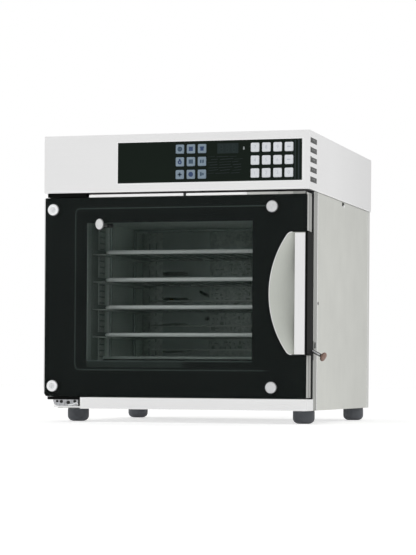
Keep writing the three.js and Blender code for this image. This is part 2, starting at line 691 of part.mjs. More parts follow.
function doorGasket() {
  const y0 = DOOR_THICKNESS + FIT;
  const y1 = FRAME_FRONT - FIT;
  const ring = (margin, radius) => roundedRectangle(
    CAVITY_LEFT - margin, CAVITY_RIGHT + margin, CAVITY_FLOOR - margin, CAVITY_CEILING + margin, radius);
  const outer = plateXZ(ring(GASKET_MARGIN + GASKET_WIDTH, GASKET_CORNER), y0, y1);
  const inner = plateXZ(ring(GASKET_MARGIN, GASKET_CORNER - GASKET_WIDTH), y0 - OVERRUN, y1 + OVERRUN);
  return outer.subtract(inner);
}

function foot(x, y) {
  const radius = FOOT_DIAMETER / 2;
  const corner = FOOT_ROUND * Math.SQRT1_2;
  const profile = [
    [0, -FOOT_HEIGHT],
    [radius - FOOT_ROUND, -FOOT_HEIGHT],
    [radius - FOOT_ROUND + corner, -FOOT_HEIGHT + FOOT_ROUND - corner],
    [radius, -FOOT_HEIGHT + FOOT_ROUND],
    [radius, -FIT],
    [0, -FIT],
  ];
  return turnedZ(profile, x, y, ROUND);
}

const FEET = {
  foot_front_left: [FOOT_INSET, FOOT_FRONT],
  foot_front_right: [OVEN_WIDTH - FOOT_INSET, FOOT_FRONT],
  foot_rear_left: [FOOT_REAR_INSET, OVEN_DEPTH - FOOT_BACK],
  foot_rear_right: [OVEN_WIDTH - FOOT_REAR_INSET, OVEN_DEPTH - FOOT_BACK],
};

// Hinge blocks: the upper one under the housing, the lower one with its ledge beside the sill,
// each with a pin into the door
function upperHinge() {
  const low = DOOR_TOP + HINGE_CLEARANCE;
  return box(HINGE_LEFT, HINGE_LEFT + HINGE_LENGTH, HINGE_FRONT, FRAME_FRONT - FIT, low, BODY_HEIGHT - FIT)
    .add(barZ(
      HINGE_PIN, HINGE_SIDE, HINGE_SETBACK, DOOR_FRAME_TOP - HINGE_PIN_REACH, low + FIT, SMALL_ROUND));
}

function lowerHinge() {
  const high = DOOR_BOTTOM - HINGE_CLEARANCE;
  const low = LOWER_HINGE_RISE;
  const ledge = high - HINGE_LEDGE;
  const ledgeLeft = LOWER_HINGE_LEFT - HINGE_LEDGE_REACH;
  const round = Math.min(HINGE_ROUND, ledge - low);
  const outline = new THREE.Shape();
  outline.moveTo(LOWER_HINGE_LEFT + round, low);
  outline.lineTo(SILL_LEFT - FIT, low);
  outline.lineTo(SILL_LEFT - FIT, high);
  outline.lineTo(ledgeLeft, high);
  outline.lineTo(ledgeLeft, ledge);
  outline.lineTo(LOWER_HINGE_LEFT, ledge);
  outline.lineTo(LOWER_HINGE_LEFT, low + round);
  outline.absarc(LOWER_HINGE_LEFT + round, low + round, round, Math.PI, Math.PI * 1.5);
  return plateXZ(outline, HINGE_FRONT, FRAME_FRONT - FIT, BEND_STEPS)
    .add(barZ(
      HINGE_PIN, HINGE_SIDE, HINGE_SETBACK, high - FIT, DOOR_FRAME_BOTTOM + HINGE_PIN_REACH, SMALL_ROUND));
}

// The bite out of the glass for the handle: an arc of the dish's rim, closed at the door's edge
function scoopOutline(grow, right) {
  const radius = SCOOP_RADIUS + grow;
  const half = SCOOP_HEIGHT / 2 + grow;
  const sweep = Math.asin(half / radius);
  const shape = new THREE.Shape();
  shape.moveTo(right, SCOOP_CENTRE_Z - half);
  shape.lineTo(right, SCOOP_CENTRE_Z + half);
  shape.absarc(SCOOP_AXIS_X, SCOOP_CENTRE_Z, radius, Math.PI - sweep, Math.PI + sweep);
  return shape;
}

function scoopPrism(grow, right, y0, y1) {
  return plateXZ(scoopOutline(grow, right), y0, y1, SCOOP_ARC_STEPS);
}

// Everything in front of the dish's surface, deepened by a step; its axis of turning is beside the door
function dishSpace(step) {
  const deep = SCOOP_DEPTH_SHARES.map(([along, depth]) => [
    SCOOP_RADIUS - along * SCOOP_RUN, depth * SCOOP_DEPTH + step]);
  const rim = SCOOP_RADIUS + OVERRUN;
  const profile = [[0, -OVERRUN], [rim, -OVERRUN], [rim, step], ...deep, [0, SCOOP_DEPTH + step]];
  return turnedY(profile, SCOOP_AXIS_X, SCOOP_CENTRE_Z, SCOOP_STEPS);
}

// Handle plate: the dish with its end walls, and the grip strip folded over the deep end
function handlePlate() {
  const outside = scoopPrism(0, GRIP_RIGHT, 0, SCOOP_DEPTH).intersect(dishSpace(0));
  const inside = scoopPrism(0, GRIP_RIGHT + OVERRUN, -OVERRUN, SCOOP_DEPTH)
    .intersect(box(
      SCOOP_LEFT - OVERRUN, GRIP_RIGHT + OVERRUN, -OVERRUN, SCOOP_DEPTH,
      SCOOP_LOW + SHEET, SCOOP_HIGH - SHEET))
    .intersect(dishSpace(-SHEET));
  const low = SCOOP_LOW - GRIP_EXTRA;
  const high = SCOOP_HIGH - GRIP_EXTRA;
  const strip = box(GRIP_LEFT, GRIP_RIGHT, -GRIP_PROUD, GRIP_FLANGE - GRIP_PROUD, low, high)
    .subtract(box(
      GRIP_LEFT + SHEET, GRIP_RIGHT - SHEET, SHEET - GRIP_PROUD, GRIP_FLANGE + OVERRUN,
      low + SHEET, high - SHEET));
  return outside.subtract(inside).add(strip);
}

// Handle moulding: a black shell behind the dish, with the outer side wall that closes the finger space
function handleMoulding() {
  const outer = scoopPrism(MOULDING_WALL, MOULDING_RIGHT, GLASS_BACK, SCOOP_DEPTH + MOULDING_WALL)
    .intersect(dishSpace(MOULDING_WALL));
  const inner = scoopPrism(FIT, MOULDING_LEFT, -OVERRUN, SCOOP_DEPTH + FIT).intersect(dishSpace(FIT));
  const grip = box(
    GRIP_LEFT - FIT, GRIP_RIGHT, -OVERRUN, GRIP_FLANGE - GRIP_PROUD + FIT,
    SCOOP_LOW - GRIP_EXTRA - FIT, SCOOP_HIGH);
  const side = box(
    MOULDING_LEFT, MOULDING_RIGHT, -MOULDING_FRONT, DOOR_THICKNESS,
    SCOOP_LOW - GRIP_EXTRA, SCOOP_HIGH);
  return cutBy(outer, [inner, grip]).add(side);
}

function outerGlass() {
  const shape = new THREE.Shape();
  shape.moveTo(DOOR_LEFT + GLASS_CUT_CORNER, DOOR_BOTTOM);
  shape.lineTo(DOOR_RIGHT - GLASS_CORNER, DOOR_BOTTOM);
  shape.lineTo(DOOR_RIGHT, DOOR_BOTTOM + GLASS_CORNER);
  shape.lineTo(DOOR_RIGHT, DOOR_TOP - GLASS_CORNER);
  shape.lineTo(DOOR_RIGHT - GLASS_CORNER, DOOR_TOP);
  shape.lineTo(DOOR_LEFT + GLASS_CORNER, DOOR_TOP);
  shape.lineTo(DOOR_LEFT, DOOR_TOP - GLASS_CORNER);
  shape.lineTo(DOOR_LEFT, DOOR_BOTTOM + GLASS_CUT_CORNER);
  const bite = scoopPrism(GRIP_EXTRA + FIT, DOOR_RIGHT + OVERRUN, -OVERRUN, GLASS + OVERRUN);
  const hole = (diameter, x, z) => barY(diameter, x, -OVERRUN, GLASS + OVERRUN, z, SMALL_ROUND);
  const studs = Object.values(CAP_PLACES).map(([x, z]) => hole(CAP_STUD + FIT * 2, x, z));
  const shaft = hole(CATCH_SHAFT + RUNNING * 2, CATCH_X, CATCH_Z);
  return cutBy(plateXZ(shape, 0, GLASS), [bite, ...studs, shaft]);
}

// Door frame: a shallow steel tray open to the front glass, with a window and bosses for the glass caps
function doorFrame() {
  const shell = box(
    DOOR_FRAME_LEFT, DOOR_FRAME_RIGHT, GLASS_BACK, DOOR_THICKNESS, DOOR_FRAME_BOTTOM, DOOR_FRAME_TOP);
  const hollow = box(
    DOOR_FRAME_LEFT + SHEET, DOOR_FRAME_RIGHT - SHEET, 0, DOOR_THICKNESS - SHEET,
    DOOR_FRAME_BOTTOM + SHEET, DOOR_FRAME_TOP - SHEET);
  const window = box(
    CAVITY_LEFT - DOOR_WINDOW_MARGIN, CAVITY_RIGHT + DOOR_WINDOW_MARGIN, 0, DOOR_THICKNESS + OVERRUN,
    CAVITY_FLOOR - DOOR_WINDOW_MARGIN, CAVITY_CEILING + DOOR_WINDOW_MARGIN);
  const handle = box(
    MOULDING_LEFT - FIT, DOOR_RIGHT + OVERRUN, 0, DOOR_THICKNESS + OVERRUN,
    SCOOP_LOW - MOULDING_WALL - FIT, SCOOP_HIGH + MOULDING_WALL + FIT);
  const pins = barZ(
    HINGE_PIN + RUNNING * 2, HINGE_SIDE, HINGE_SETBACK,
    DOOR_FRAME_BOTTOM - OVERRUN, DOOR_FRAME_TOP + OVERRUN, SMALL_ROUND);
  const bosses = Object.values(CAP_PLACES).map(([x, z]) => barY(
    CAP_BOSS, x, GLASS_BACK, DOOR_THICKNESS - SHEET / 2, z, SMALL_ROUND));
  return joined([cutBy(shell, [hollow, window, handle, pins]), ...bosses]);
}

function innerGlass() {
  const margin = DOOR_WINDOW_MARGIN + INNER_GLASS_LAP;
  const back = DOOR_THICKNESS - SHEET - FIT;
  return box(
    CAVITY_LEFT - margin, CAVITY_RIGHT + margin, back - INNER_GLASS, back,
    CAVITY_FLOOR - margin, CAVITY_CEILING + margin);
}

// Cap that clamps the glass: a rounded disc with a shallow ring, and its stud through the glass
function glassCap(x, z) {
  const radius = CAP_DIAMETER / 2;
  const front = -CAP_THICKNESS - FIT;
  const ring = CAP_RING / 2;
  const profile = [
    [0, front + CAP_RING_DEPTH],
    [ring, front + CAP_RING_DEPTH],
    [ring + CAP_RING_DEPTH, front],
    [radius - CAP_ROUND, front],
    [radius, front + CAP_ROUND],
    [radius, -FIT],
    [CAP_STUD / 2, -FIT],
    [CAP_STUD / 2, GLASS],
    [0, GLASS],
  ];
  return turnedY(profile, x, z, ROUND);
}

// Quarter-turn catch: an oval knob, its shaft through the glass and a cam that holds the inner pane
function glassCatch() {
  const oval = new THREE.Shape();
  oval.absellipse(CATCH_X, CATCH_Z, CATCH_WIDTH / 2, CATCH_HEIGHT / 2, 0, Math.PI * 2);
  const knob = plateXZ(oval, -CATCH_PROUD, -FIT, SMALL_ROUND);
  const camBack = DOOR_THICKNESS - SHEET - INNER_GLASS - FIT * 2;
  const shaft = barY(CATCH_SHAFT, CATCH_X, -FIT * 2, camBack, CATCH_Z, SMALL_ROUND);
  const cam = box(
    CATCH_X - CATCH_CAM_LENGTH / 2, CATCH_X + CATCH_CAM_LENGTH / 2, camBack - CATCH_CAM_THICKNESS, camBack,
    CATCH_Z - CATCH_CAM_WIDTH / 2, CATCH_Z + CATCH_CAM_WIDTH / 2);
  return joined([knob, shaft, cam]);
}

// Shelf rack: two uprights against each cavity wall, a lipped rail under each shelf and rods across
function shelfRack() {
  const low = CAVITY_FLOOR + FIT + RACK_ROD / 2;
  const high = CAVITY_CEILING - FIT - RACK_ROD / 2;
  const x0 = CAVITY_LEFT + FIT + RACK_ROD / 2;
  const x1 = CAVITY_RIGHT - FIT - RACK_ROD / 2;
  const rods = [[RACK_FRONT_Y, low], [RACK_REAR_Y, low], [RACK_REAR_Y, high]].map(([y, z]) => barX(
    RACK_ROD, x0, x1, y, z, ROD_SIDES));
  return joined([rackSide(CAVITY_LEFT, 1), rackSide(CAVITY_RIGHT, -1), ...rods]);
}

function rackSide(wall, inward) {
  const rodX = wall + inward * (FIT + RACK_ROD / 2);
  const uprights = [RACK_FRONT_Y, RACK_REAR_Y].map((y) => barZ(
    RACK_ROD, rodX, y, CAVITY_FLOOR + FIT, CAVITY_CEILING - FIT, ROD_SIDES));
  const rails = [];
  const y0 = SHELF_FRONT - RAIL_OVERHANG;
  const y1 = SHELF_REAR + RAIL_OVERHANG;
  for (let i = 0; i < SHELF_COUNT; i += 1) {
    const top = shelfZ(i) - SHELF_ROD / 2 - FIT;
    const near = wall + inward * FIT;
    const far = near + inward * RAIL_WIDTH;
    const lip = near + inward * RAIL_THICKNESS;
    rails.push(box(Math.min(near, far), Math.max(near, far), y0, y1, top - RAIL_THICKNESS, top));
    rails.push(box(Math.min(near, lip), Math.max(near, lip), y0, y1, top - RAIL_THICKNESS, top + RAIL_LIP));
  }
  return joined([...uprights, ...rails]);
}

function shelfZ(index) {
  return CAVITY_FLOOR + SHELF_FIRST + index * SHELF_PITCH;
}

// Wire shelf: a bent rod frame with wires from front to back
function shelf(z) {
  const x0 = CAVITY_LEFT + SHELF_SIDE + SHELF_ROD / 2;
  const x1 = CAVITY_RIGHT - SHELF_SIDE - SHELF_ROD / 2;
  const y0 = SHELF_FRONT + SHELF_ROD / 2;
  const y1 = SHELF_REAR - SHELF_ROD / 2;
  const solids = [roundedFrame(x0, x1, y0, y1, z)];
  const pitch = (x1 - x0) / (SHELF_WIRES + 1);
  for (let i = 1; i <= SHELF_WIRES; i += 1) {
    solids.push(barY(SHELF_WIRE, x0 + i * pitch, y0, y1, z, WIRE_SIDES));
  }
  return joined(solids);
}

// The rod frame as a flat ring
function roundedFrame(x0, x1, y0, y1, z) {
  const path = new THREE.CurvePath();
  const r = SHELF_CORNER;
  const at = (x, y) => new THREE.Vector3(x, y, z);
  const corners = [
    [at(x1 - r, y0), at(x1, y0), at(x1, y0 + r)],
    [at(x1, y1 - r), at(x1, y1), at(x1 - r, y1)],
    [at(x0 + r, y1), at(x0, y1), at(x0, y1 - r)],
    [at(x0, y0 + r), at(x0, y0), at(x0 + r, y0)],
  ];
  let from = at(x0 + r, y0);
  const rings = [];
  for (const [start, corner, end] of corners) {
    rings.push(from, start);
    const arc = new THREE.QuadraticBezierCurve3(start, corner, end);
    for (let i = 1; i < BEND_STEPS; i += 1) rings.push(arc.getPoint(i / BEND_STEPS));
    from = end;
  }
  return ringTube(rings, SHELF_ROD, ROD_SIDES);
}

// A closed tube of regular section through flat, level points
function ringTube(points, diameter, sides) {
  const positions = [];
  const indices = [];
  const count = points.length;
  const middle = points.reduce((sum, p) => sum.add(p), new THREE.Vector3()).divideScalar(count);
  points.forEach((point, i) => {
    const before = points[(i + count - 1) % count];
    const after = points[(i + 1) % count];
    const inSide = point.clone().sub(before).normalize();
    const outSide = after.clone().sub(point).normalize();
    const along = inSide.clone().add(outSide).normalize();
    const across = new THREE.Vector3(along.y, -along.x, 0);
    if (across.dot(point.clone().sub(middle)) < 0) across.negate();
    const stretch = 1 / along.dot(outSide);
    for (let k = 0; k < sides; k += 1) {
      const angle = ((k + 0.5) / sides) * Math.PI * 2;
      const reach = Math.cos(angle) * stretch * diameter / 2;
      positions.push(
        point.x + across.x * reach, point.y + across.y * reach, point.z + Math.sin(angle) * diameter / 2);
    }
  });
  for (let i = 0; i < count; i += 1) {
    const next = (i + 1) % count;
    for (let k = 0; k < sides; k += 1) {
      const up = (k + 1) % sides;
      indices.push(i * sides + k, next * sides + k, next * sides + up);
      indices.push(i * sides + k, next * sides + up, i * sides + up);
    }
  }
  const geometry = new THREE.BufferGeometry();
  geometry.setAttribute('position', new THREE.Float32BufferAttribute(positions, 3));
  geometry.setIndex(indices);
  return solidOf(geometry);
}

// Fan baffle: a sheet in front of the fan with a swirl of intake slots, side air slots and posts to the back
function fanBaffle() {
  const x0 = CAVITY_LEFT + BAFFLE_SIDE_GAP;
  const x1 = CAVITY_RIGHT - BAFFLE_SIDE_GAP;
  const z0 = CAVITY_FLOOR + FIT;
  const z1 = CAVITY_CEILING - FIT;
  const sheet = box(x0, x1, BAFFLE_Y, BAFFLE_Y + SHEET, z0, z1);
  const cuts = [];
  for (let i = 0; i < INTAKE_SLOTS; i += 1) {
    const slot = new THREE.BoxGeometry(INTAKE_OUTER - INTAKE_INNER, OVERRUN, INTAKE_SLOT);
    slot.translate((INTAKE_OUTER + INTAKE_INNER) / 2, 0, INTAKE_SWIRL);
    slot.rotateY((i / INTAKE_SLOTS) * Math.PI * 2);
    slot.translate(FAN_X, BAFFLE_Y, FAN_Z);
    cuts.push(solidOf(slot));
  }
  for (let i = 0; i < SHELF_COUNT; i += 1) {
    const z = shelfZ(i) - SHELF_PITCH / 2;
    for (const x of [x0 + AIR_SLOT_INSET, x1 - AIR_SLOT_INSET - AIR_SLOT_LENGTH]) {
      cuts.push(box(
        x, x + AIR_SLOT_LENGTH, BAFFLE_Y - OVERRUN, BAFFLE_Y + OVERRUN,
        z - AIR_SLOT_HEIGHT / 2, z + AIR_SLOT_HEIGHT / 2));
    }
  }
  const posts = [];
  for (const x of [x0 + BAFFLE_POST_INSET, x1 - BAFFLE_POST_INSET]) {
    for (const z of [z0 + BAFFLE_POST_INSET, z1 - BAFFLE_POST_INSET]) {
      posts.push(barY(BAFFLE_POST, x, BAFFLE_Y + SHEET / 2, CAVITY_BACK - FIT, z, ROD_SIDES));
    }
  }
  return joined([cutBy(sheet, cuts), ...posts]);
}

function fanWheel() {
  const back = CAVITY_BACK - FAN_BACK_GAP;
  const front = back - FAN_DISC;
  const solids = [
    barY(FAN_DIAMETER, FAN_X, front, back, FAN_Z, ROUND),
    barY(FAN_HUB, FAN_X, back - FAN_HUB_LENGTH, back - FAN_DISC / 2, FAN_Z, SMALL_ROUND),
    barY(SHAFT, FAN_X, back - FAN_HUB_LENGTH - FAN_DISC, LINER_BACK + FIT + SHAFT_REACH, FAN_Z, SMALL_ROUND),
  ];
  for (let i = 0; i < FAN_BLADES; i += 1) {
    const blade = new THREE.BoxGeometry(
      FAN_BLADE_LENGTH, FAN_BLADE_DEPTH + FAN_DISC / 2, FAN_BLADE_THICKNESS);
    blade.translate((FAN_DIAMETER - FAN_BLADE_LENGTH) / 2 - FAN_BLADE_THICKNESS, 0, 0);
    blade.rotateY((i / FAN_BLADES) * Math.PI * 2);
    blade.translate(FAN_X, front - FAN_BLADE_DEPTH / 2 + FAN_DISC / 4, FAN_Z);
    solids.push(solidOf(blade));
  }
  return joined(solids);
}

function fanMotor() {
  const front = LINER_BACK + FIT;
  const half = MOTOR_FLANGE / 2;
  const bodyBack = front + MOTOR_LENGTH;
  const body = joined([
    box(FAN_X - half, FAN_X + half, front, front + MOTOR_FLANGE_THICKNESS, FAN_Z - half, FAN_Z + half),
    barY(MOTOR_DIAMETER, FAN_X, front + MOTOR_FLANGE_THICKNESS / 2, bodyBack, FAN_Z, ROUND),
    barY(MOTOR_CAP, FAN_X, bodyBack - MOTOR_CAP_LENGTH, bodyBack + MOTOR_CAP_LENGTH, FAN_Z, ROUND),
  ]);
  return body.subtract(barY(
    SHAFT + RUNNING * 2, FAN_X, front - OVERRUN, front + SHAFT_REACH + OVERRUN, FAN_Z, SMALL_ROUND));
}

// Heater: one open ring round the fan whose ends turn back through the cavity wall
function heaterRing() {
  const y = CAVITY_BACK - HEATER_BACK_GAP;
  const open = THREE.MathUtils.degToRad(HEATER_OPEN_ANGLE);
  const at = (angle) => new THREE.Vector3(
    FAN_X + HEATER_RADIUS * Math.sin(angle), y, FAN_Z - HEATER_RADIUS * Math.cos(angle));
  const points = [];
  for (let i = 0; i <= ROUND; i += 1) points.push(at(open + (i / ROUND) * (Math.PI * 2 - open * 2)));
  const back = LINER_BACK + HEATER_LEG_REACH;
  const ring = polylineTube(points, HEATER_TUBE, ROD_SIDES);
  const legs = [-1, 1].map((side) => barY(
    HEATER_TUBE, FAN_X + side * HEATER_LEG_X, y - HEATER_TUBE / 2, back, HEATER_LEG_Z, ROD_SIDES));
  return joined([ring, ...legs]);
}

function polylineTube(points, diameter, sides) {
  const path = new THREE.CurvePath();
  for (let i = 1; i < points.length; i += 1) path.add(new THREE.LineCurve3(points[i - 1], points[i]));
  return alongPath(path, diameter, sides, points.length - 1);
}

// Water valve: a body behind the rear panel with a coil on top, a hose thread through the panel and the
// pipe that leads the water to the fan
function waterValve() {
  const back = REAR_INNER - FIT;
  const front = back - VALVE_LENGTH;
  const half = VALVE_HEIGHT / 2;
  const riserY = (LINER_BACK + FIT * 2 + INSULATION + front) / 2;
  const at = (y, z) => new THREE.Vector3(PIPE_X, y, z);
  const route = [
    at(front + PIPE, VALVE_Z), at(riserY, VALVE_Z), at(riserY, FAN_Z),
    at(CAVITY_BACK - PIPE_INTO_CAVITY, FAN_Z)];
  const pipe = tube(route, PIPE, PIPE_BEND, ROD_SIDES);
  const inletEnd = OVEN_DEPTH + INLET_REACH;
  return joined([
    box(PIPE_X - VALVE_WIDTH / 2, PIPE_X + VALVE_WIDTH / 2, front, back, VALVE_Z - half, VALVE_Z + half),
    barZ(VALVE_COIL, PIPE_X, (front + back) / 2, VALVE_Z, VALVE_Z + half + VALVE_COIL, SMALL_ROUND),
    barY(INLET, PIPE_X, back - OVERRUN, inletEnd, VALVE_Z, ROUND),
    pipe,
  ]).subtract(barY(INLET / 2, PIPE_X, back, inletEnd + OVERRUN, VALVE_Z, SMALL_ROUND));
}

// Cable gland: an inner nut, the thread through the panel, an outer nut and a domed cap with the cable's bore
function cableGland() {
  const inner = REAR_INNER - FIT;
  const outer = OVEN_DEPTH + FIT;
  const domeFoot = outer + GLAND_NUT_LENGTH;
  return joined([
    barY(GLAND_NUT, GLAND_X, inner - GLAND_NUT_LENGTH, inner, GLAND_Z, NUT_SIDES),
    barY(GLAND_THREAD, GLAND_X, inner - GLAND_NUT_LENGTH / 2, outer + FIT, GLAND_Z, SMALL_ROUND),
    barY(GLAND_NUT, GLAND_X, outer, domeFoot, GLAND_Z, NUT_SIDES),
    barY(GLAND_DOME, GLAND_X, domeFoot - FIT, domeFoot + GLAND_DOME_LENGTH, GLAND_Z, SMALL_ROUND),
  ]).subtract(barY(
    GLAND_BORE, GLAND_X, inner - GLAND_NUT_LENGTH - OVERRUN, domeFoot + GLAND_DOME_LENGTH + OVERRUN,
    GLAND_Z, SMALL_ROUND));
}

// Vent lever: a pin through the frame, a sloping rod behind the door and a round knob square to the rod,
// past the side
function ventLever() {
  const end = new THREE.Vector3(LEVER_X + LEVER_REACH, LEVER_Y, LEVER_Z - LEVER_DROP);
  const rod = polylineTube([new THREE.Vector3(LEVER_X, LEVER_Y, LEVER_Z), end], LEVER_ROD, ROD_SIDES);
  const pin = barY(
    LEVER_PIN, LEVER_X, LEVER_Y - LEVER_ROD / 2, LEVER_Y + LEVER_PIN_REACH, LEVER_Z, SMALL_ROUND);
  const radius = LEVER_KNOB / 2;
  const half = LEVER_KNOB_LENGTH / 2;
  const knob = turned([
    [0, -half],
    [radius - LEVER_KNOB_ROUND, -half],
    [radius, LEVER_KNOB_ROUND - half],
    [radius, half - LEVER_KNOB_ROUND],
    [radius - LEVER_KNOB_ROUND, half],
    [0, half],
  ], SMALL_ROUND);
  knob.rotateZ(-Math.PI / 2);
  knob.rotateY(Math.atan2(LEVER_DROP, LEVER_REACH));
  knob.translate(end.x, end.y, end.z);
  return joined([rod, pin, solidOf(knob)]);
}

part('control_housing', controlHousing(), STEEL_BRIGHT);
part('display_glass', displayGlass(), BLACK_GLASS);
part('control_board', controlBoard(), finish(0x2f5a3a, 0.6, 0));
FUNCTION_KEYS.forEach((place, i) => part(`function_key_${i + 1}`, key(place), finish(0x7f8b99, 0.4, 0)));
NUMBER_KEYS.forEach((place, i) => part(`number_key_${i + 1}`, key(place), finish(0xdfe2e6, 0.4, 0)));
part('left_side_panel', sidePanel(BODY_LEFT, 1), STEEL_BRUSHED);
part('right_side_panel', sidePanel(BODY_RIGHT, -1), STEEL_BRUSHED);
part('rear_panel', rearPanel(), STEEL_BRUSHED);
part('base_pan', basePan(), STEEL_DULL);
part('front_frame', frontFrame(), STEEL_BRUSHED);
part('cavity_liner', cavityLiner(), STEEL_DULL);
part('insulation', insulationBlanket(), finish(0xd8cfae, 0.95, 0));
part('door_gasket', doorGasket(), BLACK_PLASTIC);
for (const [name, [x, y]] of Object.entries(FEET)) part(name, foot(x, y), RUBBER);
part('upper_hinge', upperHinge(), BLACK_PLASTIC);
part('lower_hinge', lowerHinge(), STEEL_DULL);
part('shelf_rack', shelfRack(), STEEL_DULL);
for (let i = 0; i < SHELF_COUNT; i += 1) part(`shelf_${i + 1}`, shelf(shelfZ(i)), STEEL_BRUSHED);
part('fan_baffle', fanBaffle(), STEEL_DULL);
part('fan_wheel', fanWheel(), STEEL_DULL);
part('fan_motor', fanMotor(), finish(0x55585a, 0.6, 0.5));
part('heater_ring', heaterRing(), finish(0x5b5550, 0.6, 0.7));
part('water_valve', waterValve(), finish(0xb99a62, 0.4, 0.8));
part('cable_gland', cableGland(), BLACK_PLASTIC);
part('vent_lever', ventLever(), COPPER);

const door = new THREE.Group();
oven.add(door);
part('outer_glass', outerGlass(), CLEAR_GLASS, door);
part('door_frame', doorFrame(), STEEL_BRUSHED, door);
part('inner_glass', innerGlass(), CLEAR_GLASS, door);
part('handle_plate', handlePlate(), STEEL_BRIGHT, door);
part('handle_moulding', handleMoulding(), BLACK_PLASTIC, door);
for (const [name, [x, z]] of Object.entries(CAP_PLACES)) part(name, glassCap(x, z), STEEL_BRIGHT, door);
part('glass_catch', glassCatch(), STEEL_BRIGHT, door);

// The origin is the middle of the oven's footprint, at the floor
const extent = new THREE.Box3().setFromObject(oven);
oven.position.set(
  -(extent.min.x + extent.max.x) / 2, -(extent.min.y + extent.max.y) / 2, -extent.min.z);
oven.updateMatrixWorld(true);

export default oven;
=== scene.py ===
import math
import random

import bmesh
import bpy
from mathutils import Matrix, Vector


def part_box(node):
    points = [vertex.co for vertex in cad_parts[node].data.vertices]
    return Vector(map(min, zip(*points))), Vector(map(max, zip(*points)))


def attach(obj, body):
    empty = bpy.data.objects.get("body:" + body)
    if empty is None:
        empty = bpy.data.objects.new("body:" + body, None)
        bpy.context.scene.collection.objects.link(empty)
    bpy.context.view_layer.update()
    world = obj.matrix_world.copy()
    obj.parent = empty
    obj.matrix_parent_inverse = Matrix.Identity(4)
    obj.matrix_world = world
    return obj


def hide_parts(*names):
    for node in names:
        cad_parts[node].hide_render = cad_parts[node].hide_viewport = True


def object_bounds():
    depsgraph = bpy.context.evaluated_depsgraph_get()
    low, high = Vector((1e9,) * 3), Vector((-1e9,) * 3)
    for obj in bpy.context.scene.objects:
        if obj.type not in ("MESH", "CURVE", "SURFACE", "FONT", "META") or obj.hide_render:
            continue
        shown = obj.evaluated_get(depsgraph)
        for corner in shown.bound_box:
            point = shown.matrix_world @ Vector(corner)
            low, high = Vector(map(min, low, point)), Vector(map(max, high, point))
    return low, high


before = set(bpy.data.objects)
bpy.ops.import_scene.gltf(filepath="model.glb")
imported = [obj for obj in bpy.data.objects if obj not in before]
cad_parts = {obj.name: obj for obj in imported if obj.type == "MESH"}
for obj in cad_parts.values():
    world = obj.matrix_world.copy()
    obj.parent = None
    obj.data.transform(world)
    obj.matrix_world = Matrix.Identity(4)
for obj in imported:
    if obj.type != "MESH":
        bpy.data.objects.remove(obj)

# Pieces are drawn in millimetres from the housing's front left corner at the underside of the base.
# Their places come from the solids' own boxes, or are named here in the same millimetres.
MM = 0.001
cad_low, cad_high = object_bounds()
housing_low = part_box("control_housing")[0]
ORIGIN = Vector((housing_low.x, housing_low.y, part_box("base_pan")[0].z))
SKIN = 0.06
random.seed(7)


def span(node):
    """The two corners of a solid's box, in millimetres."""
    low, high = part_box(node)
    return (low - ORIGIN) / MM, (high - ORIGIN) / MM


def srgb(red, green, blue):
    """A colour as it should look on screen, from 0 to 255 a channel, in the shader's linear numbers."""
    def linear(value):
        share = value / 255
        if share <= 0.04045:
            return share / 12.92
        return ((share + 0.055) / 1.055) ** 2.4
    return (linear(red), linear(green), linear(blue), 1)


# Materials
NOISE_RANGE = (0.25, 0.75)
FINE_DETAIL = 5
BROAD_DETAIL = 2
BUMP_STRENGTH = 0.6
ACROSS = (5, 5, 900)
UPWARD = (700, 700, 5)


def even(scale):
    """A grain that is the same along every axis."""
    return (scale, scale, scale)


def fill(tree, node, inputs):
    """Sets a node's inputs to values, or wires them to outputs of other nodes."""
    for socket, value in inputs.items():
        if isinstance(value, bpy.types.NodeSocket):
            tree.links.new(value, node.inputs[socket])
        else:
            node.inputs[socket].default_value = value


def added(tree, kind, inputs, output=0, operation=None):
    """The output of a new node whose inputs are filled."""
    node = tree.nodes.new(f"ShaderNode{kind}")
    if operation:
        node.operation = operation
    fill(tree, node, inputs)
    return node.outputs[output]


LOOKS = {}


def surface(name, colour, roughness, metallic, grain, streak, mottle,
            patch=7.0, relief=0.00002, rear_shade=0.0, **sockets):
    """Adds a look whose colour, roughness and height vary with a fine stretched grain and soft patches, and
    whose colour may be painted darker towards the back as shade.
    """
    made = bpy.data.materials.new(name)
    made.use_nodes = True
    tree = made.node_tree

    def noise(vector, scale, detail):
        return added(tree, "TexNoise", {"Vector": vector, "Scale": scale, "Detail": detail}, "Fac")

    def ranged(value, least, most, before=NOISE_RANGE):
        ends = zip(("From Min", "From Max", "To Min", "To Max"), (*before, least, most))
        return added(tree, "MapRange", {"Value": value, **dict(ends)})

    def product(first, second):
        return added(tree, "Math", {0: first, 1: second}, operation="MULTIPLY")

    place = added(tree, "TexCoord", {}, "Object")
    fine = noise(added(tree, "Mapping", {"Vector": place, "Scale": grain}), 1, FINE_DETAIL)
    broad = noise(place, patch, BROAD_DETAIL)
    shade = product(ranged(fine, 1 - streak, 1 + streak), ranged(broad, 1 - mottle, 1 + mottle))
    # Painted shade: from a third of the scene's depth to its back, the colour darkens evenly.
    if rear_shade:
        first_third = (cad_low.y * 2 + cad_high.y) / 3
        along = added(tree, "SeparateXYZ", {"Vector": place}, "Y")
        shade = product(shade, ranged(along, 1, 1 - rear_shade, (first_third, cad_high.y)))
    gloss = ranged(fine, roughness * (1 - streak), min(1.0, roughness * (1 + streak * 2)))
    fill(tree, tree.nodes["Principled BSDF"], {
        "Metallic": metallic,
        "Base Color": added(tree, "HueSaturation", {"Value": shade, "Color": srgb(*colour)}),
        "Roughness": gloss,
        "Normal": added(tree, "Bump", {"Distance": relief, "Strength": BUMP_STRENGTH, "Height": fine}),
        **sockets})
    LOOKS[name] = made
